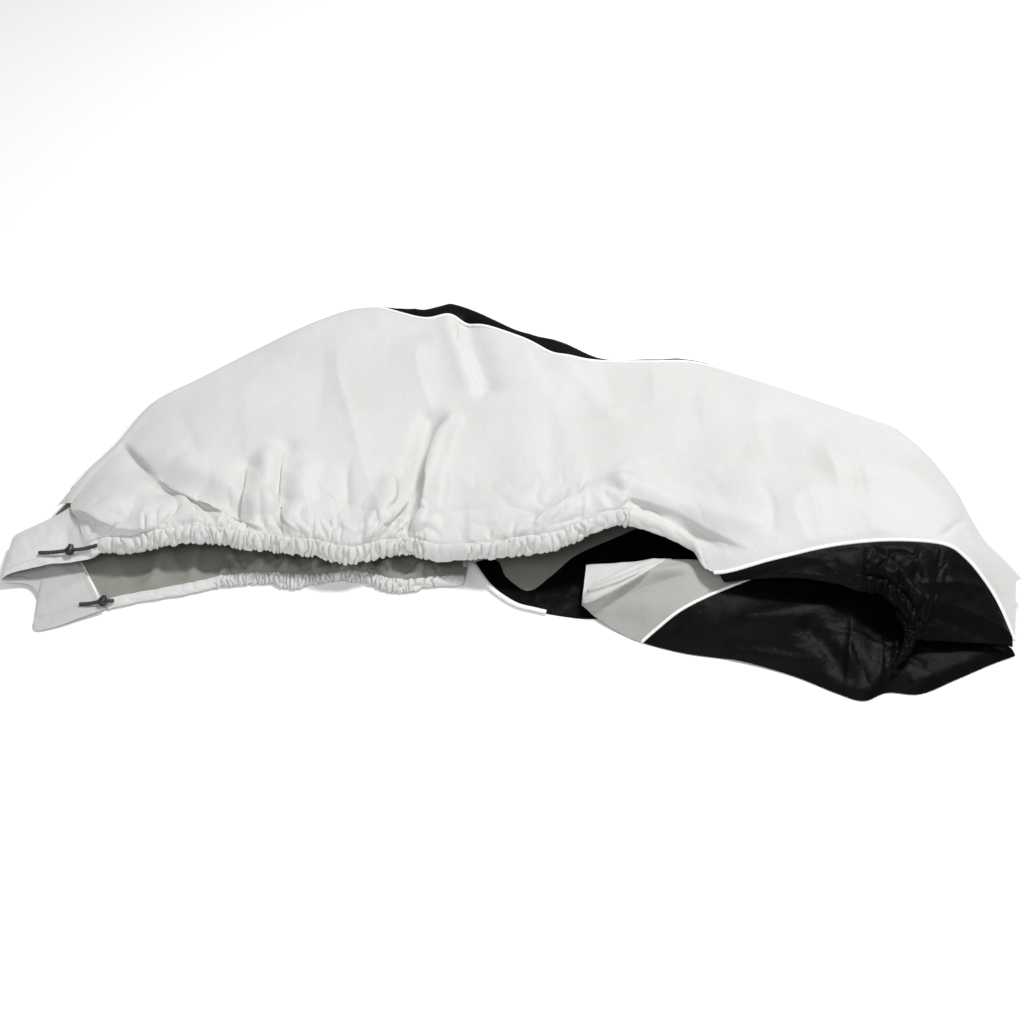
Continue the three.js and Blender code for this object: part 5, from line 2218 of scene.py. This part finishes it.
@dataclass
class CordEnd:
    """Free end of the drawcord with its lock."""

    name: str
    route: Rows
    lock_at: int
    lock_axis: tuple[float, float, float]
    finishes: Finishes

    def build_lock(self) -> Piece:
        """Makes the lock: a ribbed barrel, a waist and a button, turned from a profile.

        Returns:
            The lock.
        """
        radius, length = LOCK_RADIUS, LOCK_LENGTH
        profile = (
            (0.0, 0.0), (0.62 * radius, 0.0), (0.84 * radius, 0.7), (0.97 * radius, 2.2), (radius, 4.0),
            (0.93 * radius, 5.0), (radius, 6.0), (0.93 * radius, 7.0), (radius, 8.0), (radius, 0.58 * length),
            (0.96 * radius, 0.64 * length), (0.8 * radius, 0.68 * length), (0.7 * radius, 0.7 * length),
            (0.7 * radius, 0.88 * length), (0.66 * radius, 0.94 * length), (0.5 * radius, 0.985 * length),
            (0.0, length),
        )
        bm = bmesh.new()
        verts = [bm.verts.new((out, 0.0, up - 0.42 * length)) for out, up in profile]
        edges = [bm.edges.new(pair) for pair in zip(verts, verts[1:])]
        round_trip = 2 * math.pi
        bmesh.ops.spin(bm, geom=verts + edges, axis=UPRIGHT, angle=round_trip, steps=28, use_merge=True)
        bmesh.ops.remove_doubles(bm, verts=bm.verts, dist=0.01)
        for turn in (0.0, math.pi):
            aside = Matrix.Translation((radius + 0.1, 0, 0)) @ Matrix.Rotation(math.pi / 2, 4, "Y")
            placed = Matrix.Rotation(turn, 4, "Z") @ aside
            bmesh.ops.create_cone(bm, segments=20, radius1=6.4, radius2=5.4, depth=2.0, matrix=placed)
        bmesh.ops.recalc_face_normals(bm, faces=bm.faces)
        axis = Vector(self.lock_axis).normalized()
        ahead = Vector(self.route[self.lock_at + 1]) - Vector(self.route[self.lock_at - 1])
        ahead = (ahead - ahead.project(axis)).normalized()
        side = axis.cross(ahead)
        turned = Matrix([[*row] for row in zip(ahead, side, axis)]).to_4x4()
        centre = Vector(metres(np.array(self.route[self.lock_at], float)))
        bm.transform(Matrix.Translation(centre) @ Matrix.Scale(0.001, 4) @ turned)
        piece = from_bmesh(f"{self.name}_lock_body", bm)
        rounding = piece.modifiers.new("rounding", "BEVEL")
        rounding.width = 0.0004
        rounding.segments = 2
        rounding.limit_method = "ANGLE"
        settle(piece, (self.finishes.lock,), [f"{self.name}_lock"])
        return piece

    def build(self) -> Piece:
        """Makes the cord and its lock.

        Returns:
            The cord.
        """
        lock = self.build_lock()
        line = smooth_route(self.route, 90)
        radii = np.full(len(line), CORD_DIAMETER / 2)
        radii[-1], radii[-2], radii[0] = 0.55 * radii[-1], 0.88 * radii[-2], 0.8 * radii[0]
        cord = closed_tube(f"{self.name}_cord_braid", line, radii, 20)
        settle(cord, (self.finishes.braid,), [f"{self.name}_cord"])
        return cord


@dataclass
class Studio:
    """Pale floor, soft light and the camera of the front view."""

    floor_size: float = 60.0
    world_light: float = 0.36
    target: tuple[float, float, float] = (0.0, 0.0, 0.1)

    def build(self) -> None:
        """Sets the floor, the lights and the camera."""
        self.floor()
        self.light("key", (2.2, 2.2, 6.0), 1.4, 375.0)
        self.light("front", (-0.8, -4.4, 4.2), 2.6, 120.0)
        world = bpy.data.worlds.new("studio")
        world.use_nodes = True
        background = world.node_tree.nodes["Background"]
        background.inputs["Color"].default_value = (1.0, 1.0, 1.0, 1.0)
        background.inputs["Strength"].default_value = self.world_light
        bpy.context.scene.world = world
        bpy.context.scene.view_settings.view_transform = "Standard"
        self.camera()

    def floor(self) -> None:
        """Makes the pale floor."""
        bm = bmesh.new()
        bmesh.ops.create_grid(bm, x_segments=8, y_segments=8, size=self.floor_size / 2)
        floor = from_bmesh("floor", bm)
        material = bpy.data.materials.new("pale floor")
        material.use_nodes = True
        shader = material.node_tree.nodes["Principled BSDF"]
        shader.inputs["Base Color"].default_value = (0.93, 0.93, 0.93, 1.0)
        shader.inputs["Roughness"].default_value = 0.9
        shader.inputs["Specular IOR Level"].default_value = 0.1
        floor.data.materials.append(material)

    def light(self, name: str, place: tuple[float, float, float], size: float, power: float) -> None:
        """Hangs a soft square light that points at the cover.

        Args:
            name: Name of the light.
            place: Where it hangs, in metres.
            size: Side of the square.
            power: Its power in watts.
        """
        lamp = bpy.data.lights.new(name, "AREA")
        lamp.size = size
        lamp.energy = power
        holder = bpy.data.objects.new(name, lamp)
        holder.location = place
        holder.rotation_euler = (Vector(self.target) - Vector(place)).to_track_quat("-Z", "Y").to_euler()
        bpy.context.collection.objects.link(holder)

    def camera(self) -> None:
        """Sets the camera where the front view was taken from."""
        lens = bpy.data.cameras.new("front view")
        lens.sensor_width = 36.0
        lens.lens = VIEW_FOCUS / PICTURE * lens.sensor_width
        lens.shift_x = (PICTURE / 2 - VIEW_CENTRE[0]) / PICTURE
        lens.shift_y = (VIEW_CENTRE[1] - PICTURE / 2) / PICTURE
        holder = bpy.data.objects.new("front view", lens)
        holder.location = metres(VIEW_PLACE)
        holder.rotation_euler = (math.pi / 2 - math.radians(VIEW_TILT), 0.0, 0.0)
        bpy.context.collection.objects.link(holder)
        bpy.context.scene.camera = holder


class Hold(Enum):
    """How a sheet is held."""

    DRAPED = "draped"
    GATHERED = "gathered"
    LAID = "laid"
    FOLDED = "folded"


@dataclass(frozen=True)
class Cut:
    """The size that a sheet was cut to, in metres, how it is held and what is sewn on it."""

    width: float
    length: float
    area: float
    hold: Hold
    rests_on: tuple[str, ...]
    sewn: tuple[str, ...] = ()

    def declare(self, sheet: Piece) -> None:
        """Args:
            sheet: The sheet.
        """
        measured = sum(face.area for face in sheet.data.polygons)
        LOG.info("%s: cut %.3f m2, laid %.3f m2", sheet.name, self.area, measured)


CUTS = {
    "starboard_stern_half": Cut(0.98, 1.25, 0.74, Hold.DRAPED, ("black_strip", "port_side")),
    "starboard_bow_half": Cut(0.85, 1.35, 0.75, Hold.DRAPED, ("black_strip", "bow_side")),
    "starboard_hem": Cut(
        0.066, 2.4, 0.158, Hold.GATHERED, ("starboard_stern_half",), ("starboard_hem_stitches",)
    ),
    "black_strip": Cut(0.27, 3.1, 0.53, Hold.DRAPED, ("floor",)),
    "port_side": Cut(1.0, 2.45, 1.4, Hold.LAID, ("floor",)),
    "port_hem": Cut(0.066, 1.4, 0.092, Hold.GATHERED, ("floor",), ("port_hem_stitches",)),
    "stern_panel": Cut(
        0.22, 0.42, 0.09, Hold.FOLDED, ("floor",),
        ("stern_hem_seam", *(f"stern_{name}" for name, _ in SternPanel.cross_seams)),
    ),
    "bow_side": Cut(
        0.24, 0.85, 0.12, Hold.GATHERED, ("bow_apron_cloth",), ("bow_hem_stitches", "bow_hem_end")
    ),
    "bow_band_cloth": Cut(0.36, 1.2, 0.29, Hold.LAID, ("floor",)),
    "bow_fold_cloth": Cut(
        0.25, 0.42, 0.095, Hold.FOLDED, ("bow_band_cloth",), ("bow_fold_roll", "bow_fold_small_roll")
    ),
    "bow_apron_cloth": Cut(0.3, 0.9, 0.22, Hold.FOLDED, ("floor",)),
}


def main() -> None:
    """Builds the cover and its setting in order."""
    logging.basicConfig(level=logging.INFO, format="%(name)s %(message)s")
    Studio().build()
    finishes = Finishes.build()
    CordEnd("upper", UPPER_CORD, 4, (0.0, 1.0, 0.3), finishes).build()
    CordEnd("lower", LOWER_CORD, 2, (0.0, 1.0, 0.0), finishes).build()
    sheets = [*StarboardPanel(finishes).build(), BlackStrip(finishes).build(), *PortPanel(finishes).build()]
    sheets += [SternPanel(finishes).build(), BowPanel(finishes).build(), BowBand(finishes).build()]
    sheets += FoldedBow(finishes).build()
    Pipings(finishes).build()
    for sheet in sheets:
        CUTS[sheet.name].declare(sheet)


if __name__ == "__main__":
    main()
